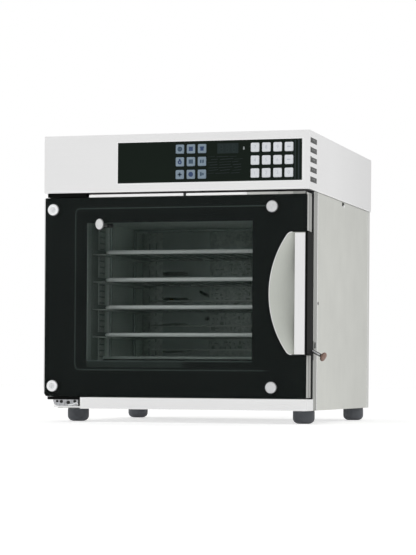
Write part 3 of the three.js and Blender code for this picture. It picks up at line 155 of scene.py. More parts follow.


# Colour on screen, roughness, metal, grain, streak and mottle of each look
# bright_steel and brushed_steel are painted darker towards the back as shade.
surface("bright_steel", (229, 229, 229), 0.36, 0.75, ACROSS, 0.012, 0.008, rear_shade=0.14)
# Painted highlight: a brighter copy of the steel for lit edges, the display lip, a tab, a plate by the sill
# and the door's top strip.
surface("painted_highlight_steel", (246, 246, 246), 0.25, 0.7, ACROSS, 0.01, 0.01)
surface("brushed_steel", (201, 202, 196), 0.42, 0.8, UPWARD, 0.07, 0.05, patch=9, rear_shade=0.08)
# Painted shade: a darker copy of the steel for the front frame.
surface("shaded_frame_steel", (146, 147, 143), 0.4, 0.8, UPWARD, 0.04, 0.03)
surface("flange_steel", (194, 195, 191), 0.4, 0.8, UPWARD, 0.03, 0.02)
surface("door_steel", (178, 179, 175), 0.4, 0.8, UPWARD, 0.04, 0.03)
# Painted shade: a darker copy of the door steel.
surface("door_shade", (148, 149, 146), 0.45, 0.7, UPWARD, 0.05, 0.04)
surface("handle_steel", (193, 196, 189), 0.46, 0.55, (500, 500, 40), 0.03, 0.04)
surface("grip_steel", (228, 228, 228), 0.36, 0.7, UPWARD, 0.01, 0.01)
surface("cap_steel", (201, 202, 203), 0.3, 0.8, even(160), 0.1, 0.05)
# Painted light: a lighter copy of the cap steel, for the left caps and the hinge web.
surface("painted_lit_steel", (236, 237, 238), 0.3, 0.75, even(160), 0.08, 0.03)
# Painted light: a lighter copy of the steel for the frame's front edge and a step of the door's top strip.
surface("lit_edge_steel", (192, 193, 190), 0.4, 0.75, UPWARD, 0.05, 0.04)
surface("catch_steel", (212, 213, 213), 0.34, 0.75, even(220), 0.08, 0.04)
surface("cap_centre", (215, 216, 217), 0.4, 0.6, even(330), 0.24, 0.1)
surface("cavity_steel", (158, 170, 165), 0.5, 0.3, UPWARD, 0.12, 0.1)
surface("liner_steel", (224, 236, 230), 0.5, 0.15, UPWARD, 0.14, 0.12)
surface("rail_steel", (200, 208, 204), 0.42, 0.4, UPWARD, 0.06, 0.05)
surface("collar_steel", (126, 136, 132), 0.5, 0.2, UPWARD, 0.14, 0.12)
surface("intake_steel", (180, 190, 185), 0.45, 0.3, even(160), 0.3, 0.14)
# Painted shade: a darker tone for the air slots, where only shade is seen.
surface("slot_shade", (140, 147, 144), 0.7, 0, even(300), 0.2, 0.2)
# Painted light and shade: a lighter copy of the wire for lit parts and a darker one for shaded parts.
surface("shelf_wire", (246, 255, 252), 0.5, 0, even(40), 0.05, 0.03)
surface("painted_shade_wire", (150, 158, 154), 0.5, 0.3, even(40), 0.05, 0.03)
surface("hinge_steel", (178, 179, 182), 0.45, 0.6, even(170), 0.55, 0.2)
surface("motor_steel", (70, 72, 75), 0.55, 0.4, even(200), 0.06, 0.06)
surface("heater_steel", (96, 88, 82), 0.5, 0.8, even(160), 0.12, 0.1)
surface("brass", (196, 170, 116), 0.34, 0.9, even(220), 0.05, 0.08)
surface("lever_copper", (150, 123, 112), 0.45, 0.2, even(120), 0.2, 0.2)
surface("black_glass", (17, 26, 20), 0.14, 0, even(12), 0.05, 0.1, IOR=1.16)
surface("led_window", (35, 44, 44), 0.3, 0, even(60), 0.06, 0.08, IOR=1.18)
surface("led_segment", (42, 52, 51), 0.4, 0, even(90), 0.04, 0.04, IOR=1.18)
surface("dim_print", (42, 48, 50), 0.5, 0, even(300), 0.1, 0.1, IOR=1.18)
surface("light_print", (140, 146, 146), 0.5, 0, even(300), 0.05, 0.05)
# Painted light: a lighter print for a band below the window.
surface("painted_glow_print", (50, 58, 55), 0.5, 0, even(30), 0.05, 0.08, IOR=1.15)
surface("seal_print", (74, 84, 81), 0.5, 0, even(30), 0.05, 0.08, IOR=1.15)
surface("border_print", (27, 31, 30), 0.5, 0, even(30), 0.05, 0.08, IOR=1.15)
surface("outer_pane", (20, 27, 25), 0.05, 0, even(8), 0.03, 0.05, relief=0, IOR=1.17, Alpha=0.14)
surface("inner_pane", (60, 74, 68), 0.05, 0, even(8), 0.03, 0.05, relief=0, IOR=1.17, Alpha=0.04)
surface("blue_key", (120, 137, 150), 0.42, 0, even(160), 0.1, 0.12)
surface("blue_print", (30, 54, 92), 0.5, 0, even(400), 0.12, 0.1)
surface("teal_print", (44, 66, 84), 0.5, 0, even(400), 0.12, 0.1)
surface("white_key", (221, 224, 228), 0.4, 0, even(160), 0.06, 0.04)
surface("key_print", (188, 193, 200), 0.5, 0, even(400), 0.06, 0.06)
surface("black_plastic", (11, 12, 11), 0.6, 0, even(900), 0.08, 0.06, IOR=1.14)
surface("circuit_board", (46, 88, 60), 0.5, 0, even(120), 0.08, 0.06)
surface("seal_rubber", (34, 35, 36), 0.6, 0, even(500), 0.08, 0.05)
surface("foot_rubber", (89, 92, 97), 0.62, 0, even(420), 0.08, 0.08)
surface("mineral_wool", (214, 200, 160), 0.95, 0, (260, 60, 260), 0.2, 0.1)
# Painted shade: a dark tone for holes, slits, notches, screw recesses and the space under the floor lip.
surface("dark_hole", (26, 27, 26), 0.8, 0, even(300), 0.1, 0.1)
# Painted shade in the louvre slots, with lighter bars painted on it as light.
surface("louvre_painted_shade", (88, 89, 88), 0.7, 0.2, even(500), 0.1, 0.06)
surface("louvre_painted_light", (134, 135, 134), 0.6, 0.3, even(500), 0.1, 0.06)


# Mesh making
SHARP_ANGLE = 38
ROUNDING_SHARE = 0.45
NEARLY = 1e-6
LEAST_RADIUS = 0.01


def placed(name, data):
    """A new object in the scene."""
    made = bpy.data.objects.new(name, data)
    bpy.context.scene.collection.objects.link(made)
    return made


def piece(name, shape, look, body="oven", stands_for=(), smooth=True):
    """Turns a bmesh in millimetres into a piece that rides on a body."""
    bmesh.ops.recalc_face_normals(shape, faces=shape.faces)
    mesh = bpy.data.meshes.new(name)
    shape.to_mesh(mesh)
    shape.free()
    mesh.transform(Matrix.Translation(ORIGIN) @ Matrix.Scale(MM, 4))
    if smooth:
        mesh.shade_smooth()
        mesh.set_sharp_from_angle(angle=math.radians(SHARP_ANGLE))
    made = placed(name, mesh)
    mesh.materials.append(LOOKS[look])
    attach(made, body)
    if stands_for:
        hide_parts(*stands_for)
    return made


def merged(*shapes):
    """All the given shapes in the first one."""
    whole = shapes[0]
    for other in shapes[1:]:
        passing = bpy.data.meshes.new("passing")
        other.to_mesh(passing)
        other.free()
        whole.from_mesh(passing)
        bpy.data.meshes.remove(passing)
    return whole


def block(low, high, rounding=0.5, steps=2):
    """A sheet or bar with softened edges, between two corners."""
    middle = (Vector(high) + Vector(low)) / 2
    size = Vector(high) - Vector(low)
    shape = bmesh.new()
    bmesh.ops.create_cube(shape, size=1)
    bmesh.ops.transform(
        shape, matrix=Matrix.Translation(middle) @ Matrix.Diagonal((*size, 1)), verts=shape.verts)
    bmesh.ops.bevel(
        shape, geom=shape.edges[:], offset=min(rounding, min(size) * ROUNDING_SHARE), segments=steps,
        affect="EDGES", profile=0.5)
    return shape


def skinned(rings, loop=False):
    """A surface through rings of equally many points, closed at its ends or back to the first ring."""
    shape = bmesh.new()
    rows = [[shape.verts.new(point) for point in ring] for ring in rings]
    count = len(rows[0])
    pairs = list(zip(rows, rows[1:]))
    if loop:
        pairs.append((rows[-1], rows[0]))
    for before, after in pairs:
        for i in range(count):
            j = (i + 1) % count
            shape.faces.new((before[i], before[j], after[j], after[i]))
    if not loop:
        shape.faces.new(rows[0][::-1])
        shape.faces.new(rows[-1])
    return shape


def arc(cx, cz, radius, start, steps, turn=90):
    """Points of a round stretch in X and Z, from a start angle through a turn, both in degrees."""
    angles = [math.radians(start + turn * i / steps) for i in range(steps + 1)]
    return [(cx + radius * math.cos(angle), cz + radius * math.sin(angle)) for angle in angles]


def circle(cx, cz, radius, sides):
    """Points of a whole circle in X and Z."""
    return arc(cx, cz, radius, 0, sides, 360)[:-1]


def turned(profile, axis, centre, sides=48, stretch=(1, 1, 1)):
    """A profile of [radius, place along the axis] turned round the axis through the centre."""
    rings = []
    for radius, along in profile:
        ring = []
        for point in circle(0, 0, max(radius, LEAST_RADIUS), sides):
            point = [*point]
            point.insert("xyz".index(axis), along)
            ring.append(Vector(point) * Vector(stretch) + Vector(centre))
        rings.append(ring)
    return skinned(rings)


def tube(points, radius, sides=14, loop=False):
    """A round bar along points, which may close on itself."""
    points = [Vector(point) for point in points]
    count = len(points)
    rings = []
    up = None
    for i, point in enumerate(points):
        before = points[i - 1] if loop or i else point
        after = points[(i + 1) % count] if loop or i < count - 1 else point
        along = (after - before).normalized()
        if up is None:
            up = along.orthogonal().normalized()
        up = (up - along * up.dot(along)).normalized()
        side = along.cross(up)
        rings.append([point + up * rise + side * run for rise, run in circle(0, 0, radius, sides)])
    return skinned(rings, loop=loop)


def bar(start, end, radius, sides):
    """A straight round bar."""
    start = Vector(start)
    end = Vector(end)
    return tube([start, (start + end) / 2, end], radius, sides)


def rounded_outline(x0, x1, z0, z1, radius, steps=6):
    """Points of a rectangle with round corners, in X and Z."""
    corners = (
        (x1 - radius, z0 + radius, -90), (x1 - radius, z1 - radius, 0), (x0 + radius, z1 - radius, 90),
        (x0 + radius, z0 + radius, 180))
    return [point for x, z, start in corners for point in arc(x, z, radius, start, steps)]


def inset_outline(low, high, inset, radius, steps):
    """A box's outline in X and Z, moved in by the inset, with round corners."""
    return rounded_outline(low.x + inset, high.x - inset, low.z + inset, high.z - inset, radius, steps)


def rectangle(x0, x1, z0, z1):
    """Four corners in X and Z, counter-clockwise from the lower left."""
    return [(x0, z0), (x1, z0), (x1, z1), (x0, z1)]


def plate(outline, y0, y1, rounding=0.0, steps=2):
    """An outline in X and Z given thickness, with the rims of both faces softened."""
    shape = skinned([[(x, y, z) for x, z in outline] for y in (y0, y1)])
    if rounding:
        rims = [e for e in shape.edges if abs(e.verts[0].co.y - e.verts[1].co.y) < NEARLY]
        bmesh.ops.bevel(shape, geom=rims, offset=rounding, segments=steps, affect="EDGES", profile=0.5)
    return shape


def frame_plate(outer, inner, y0, y1):
    """A flat ring between two outlines of equally many points."""
    rings = [
        [(x, y, z) for x, z in line]
        for line, y in ((outer, y0), (outer, y1), (inner, y1), (inner, y0))]
    return skinned(rings, loop=True)


def spread(low, high, inset, count):
    """Evenly spaced places between two ends, of which the outer ones lie in by the inset."""
    return [low + inset + (high - low - 2 * inset) * i / (count - 1) for i in range(count)]


def sheet(wall, outward, depths, corners, rounding=0.1):
    """A block between two distances from a wall in X, and between two corners in Y and Z."""
    x0, x1 = sorted(wall + outward * depth for depth in depths)
    return block((x0, *corners[0]), (x1, *corners[1]), rounding)


NUMERAL_DEPTH = 0.1
NUMERAL_SCALE = 1.35


def numeral_shape(text, height, centre, front):
    """A plain numeral as a thin raised shape, facing forward."""
    curve = bpy.data.curves.new("numeral", "FONT")
    curve.body = text
    curve.align_x = "CENTER"
    curve.align_y = "CENTER"
    curve.size = height * NUMERAL_SCALE
    curve.extrude = NUMERAL_DEPTH / 2
    curve.resolution_u = 4
    holder = placed("numeral", curve)
    mesh = holder.to_mesh()
    shape = bmesh.new()
    shape.from_mesh(mesh)
    holder.to_mesh_clear()
    bpy.data.objects.remove(holder)
    bpy.data.curves.remove(curve)
    upright = Matrix.Translation((centre.x, front, centre.z)) @ Matrix.Rotation(math.pi / 2, 4, "X")
    bmesh.ops.transform(shape, matrix=upright, verts=shape.verts)
    return shape


WELD_WITHIN = 0.01
FLAT_ANGLE = 0.5
FOLD_ANGLE = 50


def dress(node, look, edge=0.0, steps=2):
    """Gives a solid its finish, and softens its sheet edges."""
    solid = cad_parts[node]
    solid.data.materials.clear()
    solid.data.materials.append(LOOKS[look])
    if edge:
        weld = solid.modifiers.new("weld", "WELD")
        weld.merge_threshold = WELD_WITHIN * MM
        flat = solid.modifiers.new("flat", "DECIMATE")
        flat.decimate_type = "DISSOLVE"
        flat.angle_limit = math.radians(FLAT_ANGLE)
        soft = solid.modifiers.new("soft", "BEVEL")
        soft.width = edge * MM
        soft.segments = steps
        soft.limit_method = "ANGLE"
        soft.angle_limit = math.radians(FOLD_ANGLE)
        soft.use_clamp_overlap = False


# Control housing, display and keys
def housing():
    """The cover, with strips along its lower edge painted brighter as a highlight."""
    dress("control_housing", "bright_steel", 0.6, 1)
    low, high = span("control_housing")
    top = low.z + 1.5
    proud = 0.35
    inset = 0.6
    front = block((inset, -proud, low.z), (high.x + proud, SKIN, top), 0.3)
    piece("housing_hem_highlight_front", front, "painted_highlight_steel")
    side = block((high.x - SKIN, -proud, low.z), (high.x + proud, high.y - inset, top), 0.3)
    piece("housing_hem_highlight_side", side, "painted_highlight_steel")


LOUVRES = 5
LOUVRE_PITCH = 22.6
LOUVRE_TOP = 634.5
LOUVRE_HEIGHT = 14.0
LOUVRE_SPAN = (8.0, 74.0)
SHADE_GAP = 0.1
SHADE_DEPTHS = (0.35, 0.65)
LIGHT_BAR_DEPTHS = (0.1, 0.4)
LIGHT_BAR_HALF = (4, 1.6)
# Where the two lighter bars of an even and of an odd louvre stand along it
BAR_SHARES = ((0.42, 0.62), (0.36, 0.58))


def louvre_shades():
    """A dark sheet painted as the shade behind every louvre, with two short lighter bars across its middle as
    painted light.
    """
    low, high = span("control_housing")
    shades = []
    light_bars = []
    front, back = LOUVRE_SPAN
    length, height = LIGHT_BAR_HALF
    for outside, inward in ((low.x, 1), (high.x, -1)):
        for i in range(LOUVRES):
            top = LOUVRE_TOP - i * LOUVRE_PITCH - SHADE_GAP
            bottom = LOUVRE_TOP - i * LOUVRE_PITCH - LOUVRE_HEIGHT + SHADE_GAP
            corners = ((front + SHADE_GAP, bottom), (back - SHADE_GAP, top))
            shades.append(sheet(outside, inward, SHADE_DEPTHS, corners))
            z = (top + bottom) / 2
            for share in BAR_SHARES[i % 2]:
                y = front + (back - front) * share
                corners = ((y - length, z - height), (y + length, z + height))
                light_bars.append(sheet(outside, inward, LIGHT_BAR_DEPTHS, corners))
    piece("louvre_shades", merged(*shades), "louvre_painted_shade")
    piece("louvre_light_bars", merged(*light_bars), "louvre_painted_light")


LED_X = (429.0, 480.0)
LED_Z = (598.0, 621.6)
DIGITS = 3
DIGIT_WIDTH = 8.4
DIGIT_HEIGHT = 15.5
DIGIT_STROKE = 1.5
PRINT_DEPTH = 0.1


def display():
    """Display glass with a lip round it painted bright as a highlight, a window with three digits, a lamp and
    faint rules.
    """
    dress("display_glass", "black_glass", 0.3)
    low, high = span("display_glass")
    lip = frame_plate(
        inset_outline(low, high, -1.6, 1.8, 3), inset_outline(low, high, -0.2, 0.4, 3), -0.45, 0.05)
    piece("display_lip", lip, "painted_highlight_steel")
    front = low.y
    window = plate(rounded_outline(*LED_X, *LED_Z, 1.0, 3), front - SKIN, front + PRINT_DEPTH)
    piece("led_window", window, "led_window")
    piece("led_segments", digits(front), "led_segment")
    piece("indicator_lamp", lamp(front), "light_print")
    piece("display_rules", rules(low, high), "dim_print")


def digits(front):
    """Three unlit digits of seven strokes each."""
    pitch = (LED_X[1] - LED_X[0]) / (DIGITS + 0.4)
    middle = sum(LED_Z) / 2
    half = DIGIT_STROKE / 2
    cut = DIGIT_STROKE * 0.7
    strokes = []
    for i in range(DIGITS):
        left = LED_X[0] + pitch * (i + 0.5) - DIGIT_WIDTH / 4
        right = left + DIGIT_WIDTH - DIGIT_STROKE
        for level in (-1, 0, 1):
            z = middle + level * DIGIT_HEIGHT / 2
            strokes.append(rectangle(left + DIGIT_STROKE, right, z - half, z + half))
        for x in (left, right):
            for base in (middle - DIGIT_HEIGHT / 2, middle):
                strokes.append(rectangle(x, x + DIGIT_STROKE, base + cut, base + DIGIT_HEIGHT / 2 - cut))
    return merged(*[plate(stroke, front - SKIN * 2, front) for stroke in strokes])


def lamp(front):
    """A small drop, narrower at its top."""
    x, z = 493, 609.5
    half_width, half_height = 1.9, 4.2
    taper = 0.28
    outline = [
        (x + half_width * dx * (1 - taper * dz), z + half_height * dz) for dx, dz in circle(0, 0, 1, 24)]
    return plate(outline, front - SKIN * 2, front + PRINT_DEPTH)


def rules(low, high):
    """Uneven faint rules beside the blue keys, and three upright ones at the display's right end."""
    front = low.y
    top, pitch, left = 590.0, 6.4, 402.0
    margin = 2
    outlines = []
    for row in range(7):
        z = top - row * pitch
        x = left + random.uniform(0, 14)
        for length in (22.0, 34.0, 20.0):
            length *= random.uniform(0.7, 1.1)
            rise = random.uniform(0.5, 2.2)
            thick = random.uniform(0.7, 1.5)
            outlines.append([(x, z), (x + length, z + rise), (x + length, z + rise + thick), (x, z + thick)])
            x += length + random.uniform(2, 6)
    for x, wide in ((606.5, 1.6), (614.5, 2.6), (622.5, 3.4)):
        outlines.append(rectangle(x, x + wide, low.z + margin, high.z - margin))
    return merged(*[plate(outline, front - SKIN, front) for outline in outlines])


KEY_FLANGE = 1.2
MARK_DEPTH = 0.15
MARK_OUT = 0.08
NUMERALS = ("7", "8", "9", "", "4", "5", "6", "", "1", "2", "3", "0")


def key_cap(node, name, look):
    """A cap with round corners, a soft crown and a flange behind the glass. Gives its middle and front."""
    low, high = span(node)
    rings = []
    for inset, y, corner in (
            (0, high.y, 2.6), (0, low.y + 1.3, 2.6), (0.25, low.y + 0.6, 2.5), (0.9, low.y + 0.16, 2.2),
            (2.2, low.y, 1.8), (5.5, low.y + 0.08, 1.4)):
        rings.append([(x, y, z) for x, z in inset_outline(low, high, inset + KEY_FLANGE, corner, 4)])
    piece(name, skinned(rings), look, node, [node])
    return (low + high) / 2, low.y


def ring_mark(x, z, front, outer, inner):
    """A ring, a little wider on both sides than its two radii."""
    rims = [circle(x, z, radius, 24) for radius in (outer + 0.5, inner * 0.8)]
    return frame_plate(*rims, front - SKIN, front + MARK_DEPTH)


def bar_mark(x, z, front, width, height, slope=0.0):
    """A bar, a little larger than its width and height, whose ends may slope."""
    half_width = (width + 1.5) / 2
    half_height = (height + 1.3) / 2
    return plate(
        [(x - half_width, z - half_height - slope), (x + half_width, z - half_height + slope),
         (x + half_width, z + half_height + slope), (x - half_width, z + half_height - slope)],
        front - SKIN, front + MARK_DEPTH)


# Plain marks of the nine blue keys: each part's place from the key's middle, its two sizes and its slope
KEY_MARKS = (
    ((ring_mark, 0, 0, 5.4, 3.2), (bar_mark, 0, 0, 2.2, 4.6)),
    ((bar_mark, 0, -3.4, 8.4, 1.9), (bar_mark, 0, 0, 8.4, 1.9), (bar_mark, 0, 3.4, 8.4, 1.9)),
    ((bar_mark, 0, 3.2, 9.0, 2.2), (bar_mark, 0, -1.8, 6.4, 5.2)),
    ((ring_mark, 0, -1.2, 4.4, 2.1), (bar_mark, 0, 4.8, 2.4, 3.4)),
    ((bar_mark, -3.6, 0, 1.9, 8.6), (bar_mark, 0, 0, 1.9, 8.6), (bar_mark, 3.6, 0, 1.9, 8.6)),
    ((bar_mark, -2.8, 0, 2.2, 6.6, 0.6), (bar_mark, 2.8, 0, 2.2, 6.6, 0.6)),
    ((bar_mark, 0, 0, 8.2, 2.4), (bar_mark, 0, 0, 2.4, 8.2)),
    ((ring_mark, 0, 0, 5.4, 3.4), (ring_mark, 0, 0, 2.2, 0.1)),
    ((bar_mark, -2.4, 0, 2.4, 8.0), (ring_mark, 2.4, 0, 2.2, 0.9)),
)
BLUER_KEYS = (1, 2, 3, 7)


def keys():
    """The keys' caps and what is printed on them."""
    for i, parts in enumerate(KEY_MARKS):
        node = f"function_key_{i + 1}"
        middle, front = key_cap(node, f"blue_cap_{i + 1}", "blue_key")
        shapes = [
            draw(middle.x + dx, middle.z + dz, front + MARK_OUT, *sizes) for draw, dx, dz, *sizes in parts]
        look = "blue_print" if i in BLUER_KEYS else "teal_print"
        piece(f"blue_mark_{i + 1}", merged(*shapes), look, node)
    for i, numeral in enumerate(NUMERALS):
        node = f"number_key_{i + 1}"
        middle, front = key_cap(node, f"white_cap_{i + 1}", "white_key")
        if numeral:
            shape = numeral_shape(numeral, 8.5, middle, front + 0.09)
        else:
            shape = bar_mark(middle.x, middle.z, front + MARK_OUT, 7.0, 1.6)
        piece(f"white_mark_{i + 1}", shape, "key_print", node)


# Body
BODY_LOOKS = (
    ("left_side_panel", "brushed_steel", 0.7),
    ("right_side_panel", "brushed_steel", 0.7),
    ("rear_panel", "flange_steel", 0.7),
    ("base_pan", "bright_steel", 0.5),
    ("front_frame", "shaded_frame_steel", 0.5),
    ("cavity_liner", "liner_steel", 0),
    ("insulation", "mineral_wool", 0),
    ("control_board", "circuit_board", 0),
    ("fan_motor", "motor_steel", 0),
    ("heater_ring", "heater_steel", 0),
    ("fan_wheel", "cavity_steel", 0),
    ("fan_baffle", "cavity_steel", 0.3),
    ("water_valve", "brass", 0.4),
    ("cable_gland", "black_plastic", 0.6),
    ("upper_hinge", "black_plastic", 0.8),
)


def body_sheets():
    for node, look, edge in BODY_LOOKS:
        dress(node, look, edge)


HINGE_SCREWS = ((35.0, 17.2, 3.6), (45.5, 16.6, 4.6), (63.0, 14.4, 5.2), (79.5, 17.4, 4.2))
HINGE_PIN = (24, 28, 0)


def lower_hinge():
    """Cast bracket under black blocks painted as the shade above and beside it, its web painted as a
    highlight, screws and pin, and a plate by the sill painted as a highlight.
    """
    low, high = span("lower_hinge")
    left = low.x + 14.5
    right = high.x - 5.5
    ledge = 21.7
    top = 27.4
    corner = 13.5
    behind_ledge = ledge + 1.5
    outline = [
        *arc(left + corner, low.z + corner, corner, 180, 9), (right, low.z), (right, behind_ledge),
        (left, behind_ledge)]
    face = low.y + 0.8
    bracket = plate(outline, face, high.y, 1.6, 3)
    web_y = low.y + 1.4
    web = tube([(62, web_y, 8.4), (74, web_y, 9.6), (83, web_y, 14.0), (right, web_y, 10.0)], 1.3)
    pin = turned(
        [(0.5, top - 4), (5, top - 4), (5, high.z - 1.2), (4.2, high.z - 0.3), (3.4, high.z), (0.5, high.z)],
        "z", HINGE_PIN, 28)
    piece("hinge_bracket", merged(bracket, pin), "hinge_steel", "oven", ["lower_hinge"])
    piece("hinge_web", web, "painted_lit_steel")
    # Painted shade: black blocks over and beside the bracket.
    cover = block((low.x, low.y, ledge - 0.6), (high.x, high.y, top), 1.2, 3)
    pad = block((low.x + 0.3, low.y + 0.2, top - 0.4), (high.x, high.y - 6, top + 0.95), 0.2)
    side = block((right - 0.2, low.y + 0.3, low.z), (high.x, high.y - 0.5, top - 1), 0.6)
    piece("hinge_shade_blocks", merged(cover, pad, side), "black_plastic")
    for i, (x, z, radius) in enumerate(HINGE_SCREWS):
        profile = [
            (0.3, face - 0.25), (radius * 0.7, face - 0.25), (radius, face + 0.05), (radius, face + 0.9),
            (0.3, face + 0.9)]
        plug = turned(profile, "y", (x, 0, z), 28, (1, 1, 0.86))
        piece(f"hinge_screw_{i + 1}", plug, "dark_hole")
    end_plate = block((3.3, high.y + 0.03, 2.2), (high.x, high.y + 0.27, ledge - 0.8), 0.05)
    piece("sill_end_plate", end_plate, "painted_highlight_steel")


LEVER_GAP = (118.0, 162.0)


def edge_strips():
    """Front edge of the frame above and below the lever painted lighter as lit, and strips along each side
    panel's front and back edge painted bright as a highlight.
    """
    frame_low, frame_high = span("front_frame")
    door_high = span("door_frame")[1]
    left = door_high.x + 2.6
    right = frame_high.x - 0.1
    front = door_high.y + 7.5
    back = frame_low.y + 0.2
    stretches = (("low", frame_low.z + 0.5, LEVER_GAP[0]), ("high", LEVER_GAP[1], frame_high.z - 0.5))
    for name, z0, z1 in stretches:
        piece(f"frame_edge_{name}", block((left, front, z0), (right, back, z1), 0.6), "lit_edge_steel")
    for node, outward in (("left_side_panel", -1), ("right_side_panel", 1)):
        low, high = span(node)
        face = high.x if outward > 0 else low.x
        for name, y0, y1 in (("front", low.y + 0.1, low.y + 4.2), ("back", high.y - 2.2, high.y - 0.1)):
            hem_highlight = sheet(face, outward, (-SKIN, 0.35), ((y0, low.z + 1), (y1, high.z - 1)), 0.15)
            piece(f"{node}_{name}_hem", hem_highlight, "painted_highlight_steel")


PANEL_NOTCH = ((362, 501.5), (386, 510.5))
PANEL_TAB = ((378, 499.5), (390, 505.0))
PANEL_HOLE = (108, 252)
LEVER_SLIT = ((73, 146), (86, 160))
OPENING_DEPTHS = (-0.4, 0.12)


def side_marks():
    """Small openings in the right side panel and in the frame beside the lever, painted dark as shade, and a
    tab painted bright as a highlight.
    """
    right = span("right_side_panel")[1].x
    piece("panel_notch", sheet(right, 1, OPENING_DEPTHS, PANEL_NOTCH), "dark_hole")
    piece("panel_tab", sheet(right, 1, (-0.2, 0.6), PANEL_TAB, 0.3), "painted_highlight_steel")
    profile = [(0, right - 0.4), (0.8, right - 0.4), (1, right + 0.05), (0.9, right + 0.1), (0, right + 0.1)]
    piece("panel_hole", turned(profile, "x", (0, *PANEL_HOLE), 24, (1, 6.0, 4.2)), "dark_hole")
    piece("lever_slit", sheet(span("front_frame")[1].x, 1, OPENING_DEPTHS, LEVER_SLIT), "dark_hole")


def door_top():
    """Strip along the door's top, painted bright as a highlight and stepped darker to the right as painted
    shade, with darker bands painted as shade on the door's side and a black strip painted as the shade in the
    gap beside it.
    """
    hinge = span("upper_hinge")[1]
    low, high = span("door_frame")
    front = low.y + 0.2
    back = front + 12
    base = high.z + 0.03
    top = 508.6
    notch = 348.0
    strip = block((hinge.x + 5.5, front, base), (notch - 3, back, top), 1.0, 3)
    piece("door_top_strip", strip, "painted_highlight_steel", "door")
    # Painted shade: the parts of the strip step darker towards the right.
    parts = ((notch + 3, 500.0, "painted_highlight_steel"), (500.2, 575.0, "lit_edge_steel"), (575.2, 610.0, "door_steel"),
             (610.2, high.x - 4.5, "door_shade"))
    for i, (x0, x1, look) in enumerate(parts):
        piece(f"door_top_part_{i + 1}", block((x0, front, base), (x1, back, top - 0.3), 1.0, 3), look, "door")
    side = block((high.x - 1.2, front + 0.6, base), (high.x, high.y, base + 5.4), 0.5, 2)
    piece("door_side_end", side, "door_steel", "door")
    moulding_low, moulding_high = span("handle_moulding")
    # Painted shade: darker bands on the door's side above and below the handle moulding.
    shade_bands = [
        block((high.x - 0.05, 27.0, z0), (high.x + 0.15, 41.0, z1), 0.05)
        for z0, z1 in ((low.z + 1.0, moulding_low.z - 0.6), (moulding_high.z + 0.6, base + 4.6))]
    piece("door_side_shade", merged(*shade_bands), "door_shade", "door")
    # Painted shade: a black strip in the gap over the door and down beside its right edge.
    gap_shade_right = span("front_frame")[1].x - 1.5
    seal = block((hinge.x + 0.8, 58, 503.8), (gap_shade_right, 65.9, 511.6), 1.0)
    side_gap_shade = block((high.x - 7, 64.4, 3.0), (gap_shade_right, 65.95, 504.5), 0.4)
    piece("gap_shade", merged(seal, side_gap_shade), "seal_rubber")


def sill_hem_highlights():
    """Strips along the sill's upper, lower and left edge, painted bright as a highlight."""
    low = span("base_pan")[0]
    right = span("right_side_panel")[1].x
    left = 94.0
    top = 27.0
    hem_highlight = 1.3
    back = 0.05
    edges = [
        block((left, -0.35, top - hem_highlight), (right, back, top + 0.1), 0.2),
        block((left, -0.3, low.z), (right, back, low.z + hem_highlight), 0.2),
        block((left - 0.1, -0.32, low.z), (left + hem_highlight, back, top), 0.2)]
    piece("sill_hem_highlights", merged(*edges), "painted_highlight_steel")


# A foot's profile: how far in from its radius and how far up from its sole, or down from its top
FOOT_SOLE = ((14, 0), (10.5, 0.6), (7.0, 1.9), (4.0, 4.0), (1.9, 6.6), (0.6, 9.8), (0.1, 13))
FOOT_TOP = ((0.1, 3.2), (0.8, 2.2), (0.8, 0))


def feet():
    """Rubber feet that round in towards their soles."""
    for corner in ("front_left", "front_right", "rear_left", "rear_right"):
        node = f"foot_{corner}"
        low, high = span(node)
        centre = (low + high) / 2
        radius = (high.x - low.x) / 2
        profile = [(radius - inset, low.z + rise) for inset, rise in FOOT_SOLE]
        profile += [(radius - inset, high.z - drop) for inset, drop in FOOT_TOP]
        foot = turned(profile, "z", (centre.x, centre.y, 0), 56)
        piece(f"rubber_{node}", foot, "foot_rubber", "oven", [node])


# Door
SCOOP_RADIUS = 237.6
SCOOP_FILLET = 15.0
FILLET_STEPS = 14
SCOOP_STEPS = 48
GLASS_CUT = 6.0
GLASS_CORNER = 3.0
CORNER_STEPS = 5
WINDOW_X = (107.5, 514.0)
WINDOW_Z = (112.5, 441.0)
# How far left, low and high the fine line's two sides run, and their corner radius
PRINT_LINE = ((76.6, 91.2, 476.7, 12.7), (79.2, 93.8, 474.1, 10.3))
PRINT_LINE_RIGHT = 545.0
# Right end, bottom, top and look of the lighter bands along and below the window's lower edge, painted light
WINDOW_GLOWS = ((WINDOW_X[1], 111.9, 115.2, "seal_print"), (345.0, 98.5, 111.8, "painted_glow_print"))


def scoop_curve(grow):
    """The handle's D from its top right round to its bottom right: a corner, the long arc, a corner."""
    low, high = span("handle_plate")
    radius = SCOOP_RADIUS + grow
    half = (high.z - low.z) / 2 + grow
    fillet = SCOOP_FILLET + grow
    axis_x = low.x + SCOOP_RADIUS
    axis_z = (low.z + high.z) / 2
    corner_x = axis_x - math.sqrt((radius - fillet) ** 2 - (half - fillet) ** 2)
    meet = 180 - math.degrees(math.asin((half - fillet) / (radius - fillet)))
    upper = arc(corner_x, axis_z + half - fillet, fillet, 90, FILLET_STEPS, meet - 90)[:-1]
    lower = [(x, 2 * axis_z - z) for x, z in upper[::-1]]
    return [*upper, *arc(axis_x, axis_z, radius, meet, SCOOP_STEPS, 360 - 2 * meet), *lower]


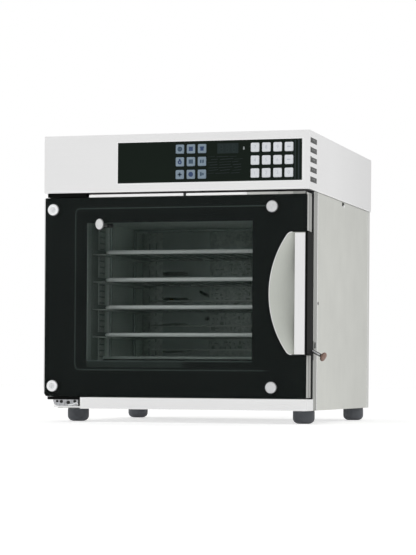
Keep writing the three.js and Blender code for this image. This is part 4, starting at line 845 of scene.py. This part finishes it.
def door_outline(inset, bite):
    """The glass outline, counter-clockwise from its cut corner, with the bite at its right edge."""
    low, high = span("outer_glass")
    x0, x1 = low.x + inset, high.x - inset
    z0, z1 = low.z + inset, high.z - inset
    curve = scoop_curve(bite)[::-1]

    def corner(cx, cz, start):
        return arc(cx, cz, GLASS_CORNER, start, CORNER_STEPS)
    return [
        (x0 + GLASS_CUT, z0), *corner(x1 - GLASS_CORNER, z0 + GLASS_CORNER, -90),
        (x1, curve[0][1]), *curve, (x1, curve[-1][1]),
        *corner(x1 - GLASS_CORNER, z1 - GLASS_CORNER, 0), *corner(x0 + GLASS_CORNER, z1 - GLASS_CORNER, 90),
        (x0, z0 + GLASS_CUT)]


def door_glass():
    """Both panes and the frame, with the outer pane's dark border, fine line, and lighter bands below the
    window painted as light, behind it.
    """
    low, high = span("outer_glass")
    glass = plate(door_outline(0, 1.8), low.y, high.y, 0.7)
    piece("outer_pane", glass, "outer_pane", "door", ["outer_glass"])
    dress("inner_glass", "inner_pane", 0.5)
    dress("door_frame", "door_steel", 0.5)
    front = high.y + 0.05
    rim = 0.2
    bottom = low.z + rim
    top = high.z - rim
    x0, x1 = WINDOW_X
    outline = door_outline(rim, 2.1)
    first, *left = [point for point in outline if point[0] < x0]
    right = [point for point in outline if point[0] > x1]
    strips = (
        [(x0, top), *left, first, (x0, bottom)], [(x1, bottom), *right, (x1, top)],
        rectangle(x0, x1, bottom, WINDOW_Z[0]), rectangle(x0, x1, WINDOW_Z[1], top))
    border = merged(*[plate(strip, front, front + 0.15) for strip in strips])
    piece("glass_border", border, "border_print", "door", smooth=False)
    print_faces = (front - 0.04, front - 0.01)
    outer, inner = [bent(*side) for side in PRINT_LINE]
    piece("seal_print", plate([*outer, *inner[::-1]], *print_faces), "seal_print", "door", smooth=False)
    for i, (end_x, z0, z1, look) in enumerate(WINDOW_GLOWS):
        band = plate(rectangle(x0, end_x, z0, z1), *print_faces)
        piece(f"window_glow_{i + 1}", band, look, "door", smooth=False)


def bent(left, bottom, top, corner):
    """An open line round the glass's left side, from its upper right end to its lower right end."""
    return [
        (PRINT_LINE_RIGHT, top), *arc(left + corner, top - corner, corner, 90, CORNER_STEPS),
        *arc(left + corner, bottom + corner, corner, 180, CORNER_STEPS), (PRINT_LINE_RIGHT, bottom)]


GRIP_WIDTH = 24.5
GRIP_FLANGE = 12.0
GRIP_SHEET = 1.5


def handle():
    """A dished plate whose rim is rolled, and the grip strip over its deep end."""
    low, high = span("handle_plate")
    axis = Vector((low.x + SCOOP_RADIUS, (low.z + high.z) / 2))
    right = high.x
    deepest_at = (right - low.x) * 0.82
    deep = high.y - 0.8
    wall = 7.0
    columns = 40

    def sunk(x, z):
        inward = SCOOP_RADIUS - (Vector((x, z)) - axis).length
        share = max(0.0, min(1.0, inward / deepest_at))
        dish = math.sin(share * math.pi / 2) ** 1.15
        ends = min(1.0, (high.z - z) / wall, (z - low.z) / wall)
        return deep * dish * math.sin(max(0.0, ends) * math.pi / 2)

    shape = bmesh.new()
    rows = []
    for x0, z in scoop_curve(0):
        row = []
        for k in range(columns + 1):
            x = x0 + (right - x0) * (k / columns) ** 1.1
            row.append(shape.verts.new((x, sunk(x, z) - 0.05, z)))
        rows.append(row)
    for upper, lower in zip(rows, rows[1:]):
        for k in range(columns):
            shape.faces.new((upper[k], lower[k], lower[k + 1], upper[k + 1]))
    dish = piece("handle_dish", shape, "handle_steel", "door", ["handle_plate"])
    thick = dish.modifiers.new("thick", "SOLIDIFY")
    thick.thickness = 0.9 * MM
    thick.offset = -1
    rim = tube([(x, -0.1, z) for x, z in scoop_curve(0.3)], 1.1, 10)
    piece("handle_rim", rim, "grip_steel", "door")
    left = right - GRIP_WIDTH
    bottom = low.z
    top = high.z - 1.5
    front = low.y
    face = block((left, front, bottom), (right, front + GRIP_SHEET, top), 1.0, 3)
    sides = [
        block((x0, front + 0.6, bottom + 0.3), (x1, front + GRIP_FLANGE, top - 0.3), 0.5)
        for x0, x1 in ((left, left + GRIP_SHEET), (right - GRIP_SHEET, right))]
    piece("grip_strip", merged(face, *sides), "grip_steel", "door")
    dress("handle_moulding", "black_plastic", 0.6)


def caps():
    """Glass caps: a rounded disc with a shallow ring, on a thin black washer."""
    for corner in ("top_left", "top_right", "bottom_left", "bottom_right"):
        node = f"glass_cap_{corner}"
        low, high = span(node)
        middle = (low + high) / 2
        centre = (middle.x, 0, middle.z)
        radius = (high.x - low.x) / 2
        front = low.y
        profile = [
            (0.5, front + 0.55), (7.6, front + 0.5), (8.3, front + 0.28), (8.8, front + 0.05), (9.6, front),
            (radius - 2.4, front + 0.06), (radius - 1.1, front + 0.45), (radius - 0.3, front + 1.3),
            (radius, front + 2.4), (radius, -0.45), (radius - 0.3, -0.4), (4, -0.4), (4, high.y),
            (0.5, high.y)]
        look, disc_look = "cap_steel", "cap_steel"
        # Painted light: the left caps get the lighter copy of the cap steel.
        if corner.endswith("left"):
            look, disc_look = "painted_lit_steel", "cap_centre"
        piece(f"round_cap_{corner}", turned(profile, "y", centre, 56), look, "door", [node])
        profile = [(0.4, front + 0.35), (6.6, front + 0.4), (7.2, front + 0.62), (0.4, front + 0.62)]
        piece(f"cap_centre_{corner}", turned(profile, "y", centre, 40), disc_look, "door")
        profile = [(5, -0.38), (radius + 1.6, -0.38), (radius + 1.8, -0.2), (radius + 1.6, -0.03), (5, -0.03)]
        piece(f"cap_washer_{corner}", turned(profile, "y", centre, 48), "seal_rubber", "door")


def catch():
    """The inner glass's oval catch, its cam behind the pane and its washer."""
    low, high = span("glass_catch")
    middle = (low + high) / 2
    centre = (middle.x, 0, middle.z)
    radius = (high.z - low.z) / 2
    front = low.y
    half_width = 10.0
    shaft_end = 46.5
    stretch = (half_width / radius, 1, 1)
    profile = [
        (0.5, front + 0.5), (7.4, front + 0.45), (8.4, front + 0.1), (9.6, front),
        (radius - 1.6, front + 0.5), (radius - 0.3, front + 1.8), (radius, front + 3.4), (radius, -0.6),
        (4, -0.5), (4, shaft_end), (0.5, shaft_end)]
    knob = turned(profile, "y", centre, 56, stretch)
    piece("oval_catch", knob, "catch_steel", "glass_catch", ["glass_catch"])
    cam = block((low.x, high.y - 3, middle.z - 5), (high.x, high.y, middle.z + 5), 0.6)
    piece("catch_cam", cam, "seal_rubber", "glass_catch")
    profile = [(5, -0.45), (radius + 1.4, -0.45), (radius + 1.6, -0.25), (radius + 1.4, -0.05), (5, -0.05)]
    piece("catch_washer", turned(profile, "y", centre, 48, stretch), "seal_rubber", "door")


# Vent lever
LEVER_PIVOT = Vector((625.0, 61.0, 150.0))
LEVER_REACH = 46.5
LEVER_DROP = 24.0
KNOB_RADIUS = 11.0
KNOB_HALF = 6.0


def lever():
    """A rod on its pin, dark lines painted as shade along both sides of the rod and round it by the knob, and
    a knob square to the rod.
    """
    back = span("vent_lever")[1].y
    pivot = LEVER_PIVOT
    centre = pivot + Vector((LEVER_REACH, 0, -LEVER_DROP))
    along = (centre - pivot).normalized()
    upward = Vector((LEVER_DROP, 0, LEVER_REACH)).normalized()
    profile = [
        (0.5, pivot.y - 2.4), (2.6, pivot.y - 2.4), (3, pivot.y - 2), (3, back - 0.6), (2.6, back),
        (0.5, back)]
    pin = turned(profile, "y", (pivot.x, 0, pivot.z), 24)
    piece("lever_rod", merged(bar(pivot, centre, 2.5, 20), pin), "cap_steel", "vent_lever", ["vent_lever"])
    in_knob = centre - along * (KNOB_HALF - 1)
    # Painted shade: two thin black bars beside the rod and a black sleeve by the knob.
    ribs = []
    for side in (-3.0, 3.0):
        aside = upward * side
        ribs.append(tube([pivot + along * 9 + aside, pivot + along * 20 + aside, in_knob + aside], 0.9, 10))
    collar_from = centre - along * (KNOB_HALF + 3)
    collar = tube([collar_from, collar_from + along * 2, in_knob], 3.6, 20)
    piece("lever_shade_lines", merged(collar, *ribs), "seal_rubber", "vent_lever")
    radius, half = KNOB_RADIUS, KNOB_HALF
    profile = [
        (2.6, -half), (radius - 5.2, -half + 0.2), (radius - 2.6, -half + 1.4), (radius - 0.9, -half + 3.4),
        (radius, -half + 5.8), (radius - 0.3, 1.8), (radius - 1.5, half - 2.4), (radius - 3.6, half - 0.9),
        (radius - 6.4, half - 0.15), (0.5, half)]
    knob = turned(profile, "x", (0, 0, 0), 40)
    tilt = Matrix.Translation(centre) @ Matrix.Rotation(math.atan2(LEVER_DROP, LEVER_REACH), 4, "Y")
    bmesh.ops.transform(knob, matrix=tilt, verts=knob.verts)
    piece("lever_knob", knob, "lever_copper", "vent_lever")


# Cavity
SHELVES = 4
ROD = 4.0
FRONT_ROD = 4.9
WIRE = 1.8
WIRES = 13
SHELF_CORNER = 16.0
LIT_DEPTH = 26


def shelves():
    """Wire shelves, whose front part is painted as lit and the rest painted as shade."""
    for i in range(1, SHELVES + 1):
        node = f"shelf_{i}"
        low, high = span(node)
        z = (low.z + high.z) / 2
        outline = rounded_outline(low.x + ROD, high.x - ROD, low.y + ROD, high.y - ROD, SHELF_CORNER)
        hoop = tube([(x, y, z) for x, y in outline], ROD, 16, loop=True)
        front_y = low.y + FRONT_ROD
        front = bar((low.x + 13, front_y, z), (high.x - 13, front_y, z), FRONT_ROD, 20)
        wires = [
            bar((x, low.y + ROD, z), (x, high.y - ROD, z), WIRE, 10)
            for x in spread(low.x, high.x, ROD, WIRES + 2)[1:-1]]
        shelf = piece(f"wire_shelf_{i}", merged(hoop, front, *wires), "shelf_wire", node, [node])
        shelf.data.materials.append(LOOKS["painted_shade_wire"])
        # Faces further back than the front strip get the darker copy, as painted shade.
        limit = ORIGIN.y + (low.y + LIT_DEPTH) * MM
        for face in shelf.data.polygons:
            face.material_index = 1 if face.center.y > limit else 0


def rack():
    """Uprights, lipped rails and cross rods that carry the shelves."""
    low, high = span("shelf_rack")
    rail_width = 33.0
    thick = 2.0
    lip = 12.0
    front_y, back_y = low.y + 128.5, high.y - 39.5
    posts = []
    rails = []
    lips = []
    for wall, inward in ((low.x, 1), (high.x, -1)):
        x = wall + inward * ROD
        for y in (front_y, back_y):
            posts.append(bar((x, y, low.z), (x, y, high.z), ROD, 16))
        for i in range(1, SHELVES + 1):
            top = span(f"shelf_{i}")[0].z - 0.5
            for shapes, width, rise in ((rails, rail_width, 0), (lips, thick, lip)):
                corners = ((low.y, top - thick), (high.y, top + rise))
                shapes.append(sheet(wall, inward, (0, width), corners, 0.6))
    for y, z in ((front_y, low.z + ROD), (back_y, low.z + ROD), (back_y, high.z - ROD)):
        posts.append(bar((low.x + ROD, y, z), (high.x - ROD, y, z), ROD, 16))
    piece("rack_posts", merged(*posts), "cavity_steel", "oven", ["shelf_rack"])
    piece("rack_rails", merged(*rails), "rail_steel")
    piece("rack_lips", merged(*lips), "collar_steel")


def cavity_front():
    """Lip of the cavity floor, a dark strip painted as the shade under it, and the collar and edge of the
    mouth's left side.
    """
    low, high = span("fan_baffle")
    shelf_low, shelf_high = span("shelf_1")
    floor = low.z + 0.1
    left, right = shelf_low.x + 2, shelf_high.x + 6
    front = shelf_low.y
    lip = block((left, front - 6, floor + 9), (right, front - 1, floor + 15.5), 2.0, 3)
    piece("floor_lip", lip, "cavity_steel")
    under_lip_shade = block((left, front - 4, floor), (right, front - 2, floor + 9.5), 0.4)
    piece("floor_lip_shade", under_lip_shade, "dark_hole")
    wall = span("cavity_liner")[0].x + 1.6
    piece("mouth_collar", block((wall, 98.5, low.z), (wall + 0.9, 150, high.z), 0.3), "collar_steel")
    piece("mouth_edge", block((wall, 73, low.z), (wall + 1.2, 98, high.z), 0.4), "cavity_steel")


BAFFLE_RIBS = (273.7, 209.0, 147.0)
RIB_X = (113, 537)
RIB_HALF = 2.4
OUTLET_X = ((87.5, 142.0), (508.0, 562.5))
INTAKE_X = (269, 381)
GRILLE_Y = (155, 202)
UPRIGHT_Y = (222, 262)
AIR_SLOT_Y = (160, 197)
AIR_SLOT_PITCH = 14.6


def cavity_back():
    """Ribs, outlet strips and intake panel on the baffle, and grilles and plates on the side walls; the
    plates are painted light and all the slots painted dark as shade.
    """
    low, high = span("fan_baffle")
    face = low.y
    seat = face + 0.05
    floor = low.z + 0.1
    ribs = [
        block((RIB_X[0], face - 4.5, z - RIB_HALF), (RIB_X[1], seat, z + RIB_HALF), 1.6, 3)
        for z in BAFFLE_RIBS]
    piece("baffle_ribs", merged(*ribs), "rail_steel")
    strips = []
    slots = []
    for x0, x1 in OUTLET_X:
        strips.append(block((x0, face - 1.6, floor + 4), (x1, seat, high.z - 4), 0.5))
        for row in range(9):
            z = floor + 32 + row * 34.0
            for x in ((x0 * 2 + x1) / 3, (x0 + x1 * 2) / 3):
                slots.append(block((x - 1.8, face - 1.66, z - 9), (x + 1.8, face - 1.5, z + 9), 0.05))
    panel = block((INTAKE_X[0], face - 2.4, floor + 2), (INTAKE_X[1], seat, high.z - 2), 0.7)
    piece("intake_panel", panel, "intake_steel")
    slots += intake_slots(face)
    liner_low, liner_high = span("cavity_liner")
    rack_low, rack_high = span("shelf_rack")
    bottom, top = rack_low.z + 4, rack_high.z - 4
    grilles = []
    plates = []
    for wall, inward in ((liner_low.x, 1), (liner_high.x, -1)):
        for shapes, (y0, y1) in ((grilles, GRILLE_Y), (plates, UPRIGHT_Y)):
            shapes.append(sheet(wall, inward, (1.7, 2.4), ((y0, bottom), (y1, top)), 0.2))
        y0, y1 = AIR_SLOT_Y
        z = rack_low.z + 14
        while z < rack_high.z - 12:
            slots.append(sheet(wall, inward, (2.36, 2.5), ((y0, z), (y1, z + 3.4)), 0.04))
            z += AIR_SLOT_PITCH
    piece("upright_plates", merged(*plates), "shelf_wire")
    piece("side_grilles", merged(*strips, *grilles), "intake_steel")
    piece("air_slots", merged(*slots), "slot_shade", smooth=False)


def intake_slots(face):
    """Uneven slots painted dark as shade all over the intake panel, with a quarter left out."""
    left, bottom = 277.5, 153.0
    pitch_x, pitch_z = 12.0, 12.6
    slots = []
    for row in range(19):
        for column in range(9):
            x = left + column * pitch_x + random.uniform(-2.2, 2.2)
            z = bottom + row * pitch_z + random.uniform(-2.0, 2.0)
            half_x = random.choice((1.0, 1.8, 3.0, 5.2))
            half_z = random.choice((1.2, 2.4, 4.6))
            if random.random() < 0.25:
                continue
            corner = (x - half_x, face - 2.46, z - half_z)
            slots.append(block(corner, (x + half_x, face - 2.3, z + half_z), 0.05))
    return slots


# Shares of the seal's width and height, from its outer foot round to its inner one
SEAL_SHARES = (
    (0.0, 0.0), (0.0, 0.62), (0.12, 0.86), (0.34, 0.98), (0.66, 0.98), (0.88, 0.86), (1.0, 0.62), (1.0, 0.0))


def gasket():
    """Door seal: a soft round-fronted profile run round the cavity mouth."""
    low, high = span("door_gasket")
    width = 12.0
    corner = 14.0
    rings = []
    for inset_share, proud_share in SEAL_SHARES:
        inset = inset_share * width
        y = high.y - proud_share * (high.y - low.y)
        outline = inset_outline(low, high, inset, corner - inset * 0.9, 8)
        rings.append([(x, y, z) for x, z in outline])
    piece("door_seal", skinned(rings, loop=True), "seal_rubber", "oven", ["door_gasket"])


# Rear
def screw(name, x, z, y):
    """A pan-head screw in the rear panel, with a cross recess."""
    profile = [
        (0.4, y - 0.2), (3.9, y - 0.2), (4.0, y + 0.5), (3.7, y + 1.2), (2.9, y + 1.8), (1.6, y + 2.15),
        (0.4, y + 2.2)]
    piece(name, turned(profile, "y", (x, 0, z), 28), "cap_steel")
    cross = merged(
        block((x - 1.9, y + 1.7, z - 0.4), (x + 1.9, y + 2.24, z + 0.4), 0.1),
        block((x - 0.4, y + 1.7, z - 1.9), (x + 0.4, y + 2.26, z + 1.9), 0.1))
    piece(f"{name}_cross", cross, "dark_hole")


REAR_INSET = 9.0
REAR_SCREWS = 4
COVER_INSET = 40
COVER_SCREWS = 3
COVER_DROP = 14


def rear():
    """Screws round the rear panel, and some along the top of the housing's back."""
    low, high = span("rear_panel")
    across = spread(low.x, high.x, REAR_INSET, REAR_SCREWS)
    upright = spread(low.z, high.z, REAR_INSET, REAR_SCREWS)
    places = [(x, z, high.y) for x in across for z in (upright[0], upright[-1])]
    places += [(x, z, high.y) for z in upright[1:-1] for x in (across[0], across[-1])]
    low, high = span("control_housing")
    places += [(x, high.z - COVER_DROP, high.y) for x in spread(low.x, high.x, COVER_INSET, COVER_SCREWS)]
    for number, place in enumerate(places):
        screw(f"rear_screw_{number + 1}", *place)


# Studio
CAMERA_AT = Vector((1.41868, -5.02525, 0.1076))
CAMERA_YAW = 16.112
CAMERA_ROLL = 0.403
CAMERA_LENS = 135.07
CAMERA_SHIFT = 0.1805
WHITE = (1, 1, 1, 1)
SOFT_LIGHT = 0.66
FLOOR_COLOUR = (0.86, 0.86, 0.86, 1)
FLOOR_GLOW = 0.42
LAMP_AIM = (0, 0, 0.35)


def camera():
    data = bpy.data.cameras.new("camera")
    data.sensor_width = 36
    data.lens = CAMERA_LENS
    data.shift_y = CAMERA_SHIFT
    made = placed("camera", data)
    made.matrix_world = (
        Matrix.Translation(CAMERA_AT)
        @ Matrix.Rotation(math.radians(CAMERA_YAW), 4, "Z")
        @ Matrix.Rotation(math.radians(90), 4, "X")
        @ Matrix.Rotation(math.radians(CAMERA_ROLL), 4, "Z"))
    bpy.context.scene.camera = made


def area_lamp(name, at, size, power):
    data = bpy.data.lights.new(name, "AREA")
    data.shape = "DISK"
    data.size = size
    data.energy = power
    made = placed(name, data)
    made.visible_glossy = False
    made.location = at
    made.rotation_euler = (Vector(LAMP_AIM) - Vector(at)).to_track_quat("-Z", "Y").to_euler()


def seen_directly(tree):
    """1 for rays from the camera, from gloss and through glass."""
    path = tree.nodes.new("ShaderNodeLightPath")
    total = path.outputs["Is Camera Ray"]
    for output in ("Is Glossy Ray", "Is Transmission Ray"):
        total = added(tree, "Math", {0: total, 1: path.outputs[output]}, operation="MAXIMUM")
    return total


def sky():
    """An even soft light, which is white where it is seen directly."""
    world = bpy.data.worlds.new("studio")
    bpy.context.scene.world = world
    world.use_nodes = True
    tree = world.node_tree
    soft = tree.nodes["Background"]
    fill(tree, soft, {"Color": WHITE, "Strength": SOFT_LIGHT})
    white = added(tree, "Background", {"Color": WHITE, "Strength": 1})
    choice = added(tree, "MixShader", {"Fac": seen_directly(tree), 1: soft.outputs["Background"], 2: white})
    fill(tree, tree.nodes["World Output"], {"Surface": choice})


def studio_floor():
    """A pale floor that keeps the oven's shadow and glows to white where it is seen directly."""
    floor = bpy.data.meshes.new("floor")
    shape = bmesh.new()
    bmesh.ops.create_grid(shape, x_segments=8, y_segments=8, size=14)
    shape.to_mesh(floor)
    shape.free()
    ground = placed("floor", floor)
    pale = bpy.data.materials.new("pale_floor")
    pale.use_nodes = True
    tree = pale.node_tree
    shader = tree.nodes["Principled BSDF"]
    fill(tree, shader, {"Base Color": FLOOR_COLOUR, "Roughness": 0.9})
    strength = added(tree, "Math", {0: seen_directly(tree), 1: FLOOR_GLOW}, operation="MULTIPLY")
    glow = added(tree, "Emission", {"Color": WHITE, "Strength": strength})
    both = added(tree, "AddShader", {0: shader.outputs["BSDF"], 1: glow})
    fill(tree, tree.nodes["Material Output"], {"Surface": both})
    floor.materials.append(pale)


camera()
housing()
louvre_shades()
display()
keys()
body_sheets()
lower_hinge()
edge_strips()
side_marks()
door_top()
sill_hem_highlights()
feet()
door_glass()
handle()
caps()
catch()
lever()
shelves()
rack()
cavity_front()
cavity_back()
gasket()
rear()
sky()
area_lamp("key_lamp", (-1.6, -4.2, 2.6), 3.2, 48)
area_lamp("side_lamp", (3.6, -2.2, 2.2), 2.4, 14)
studio_floor()
bpy.context.scene.view_settings.view_transform = "Standard"
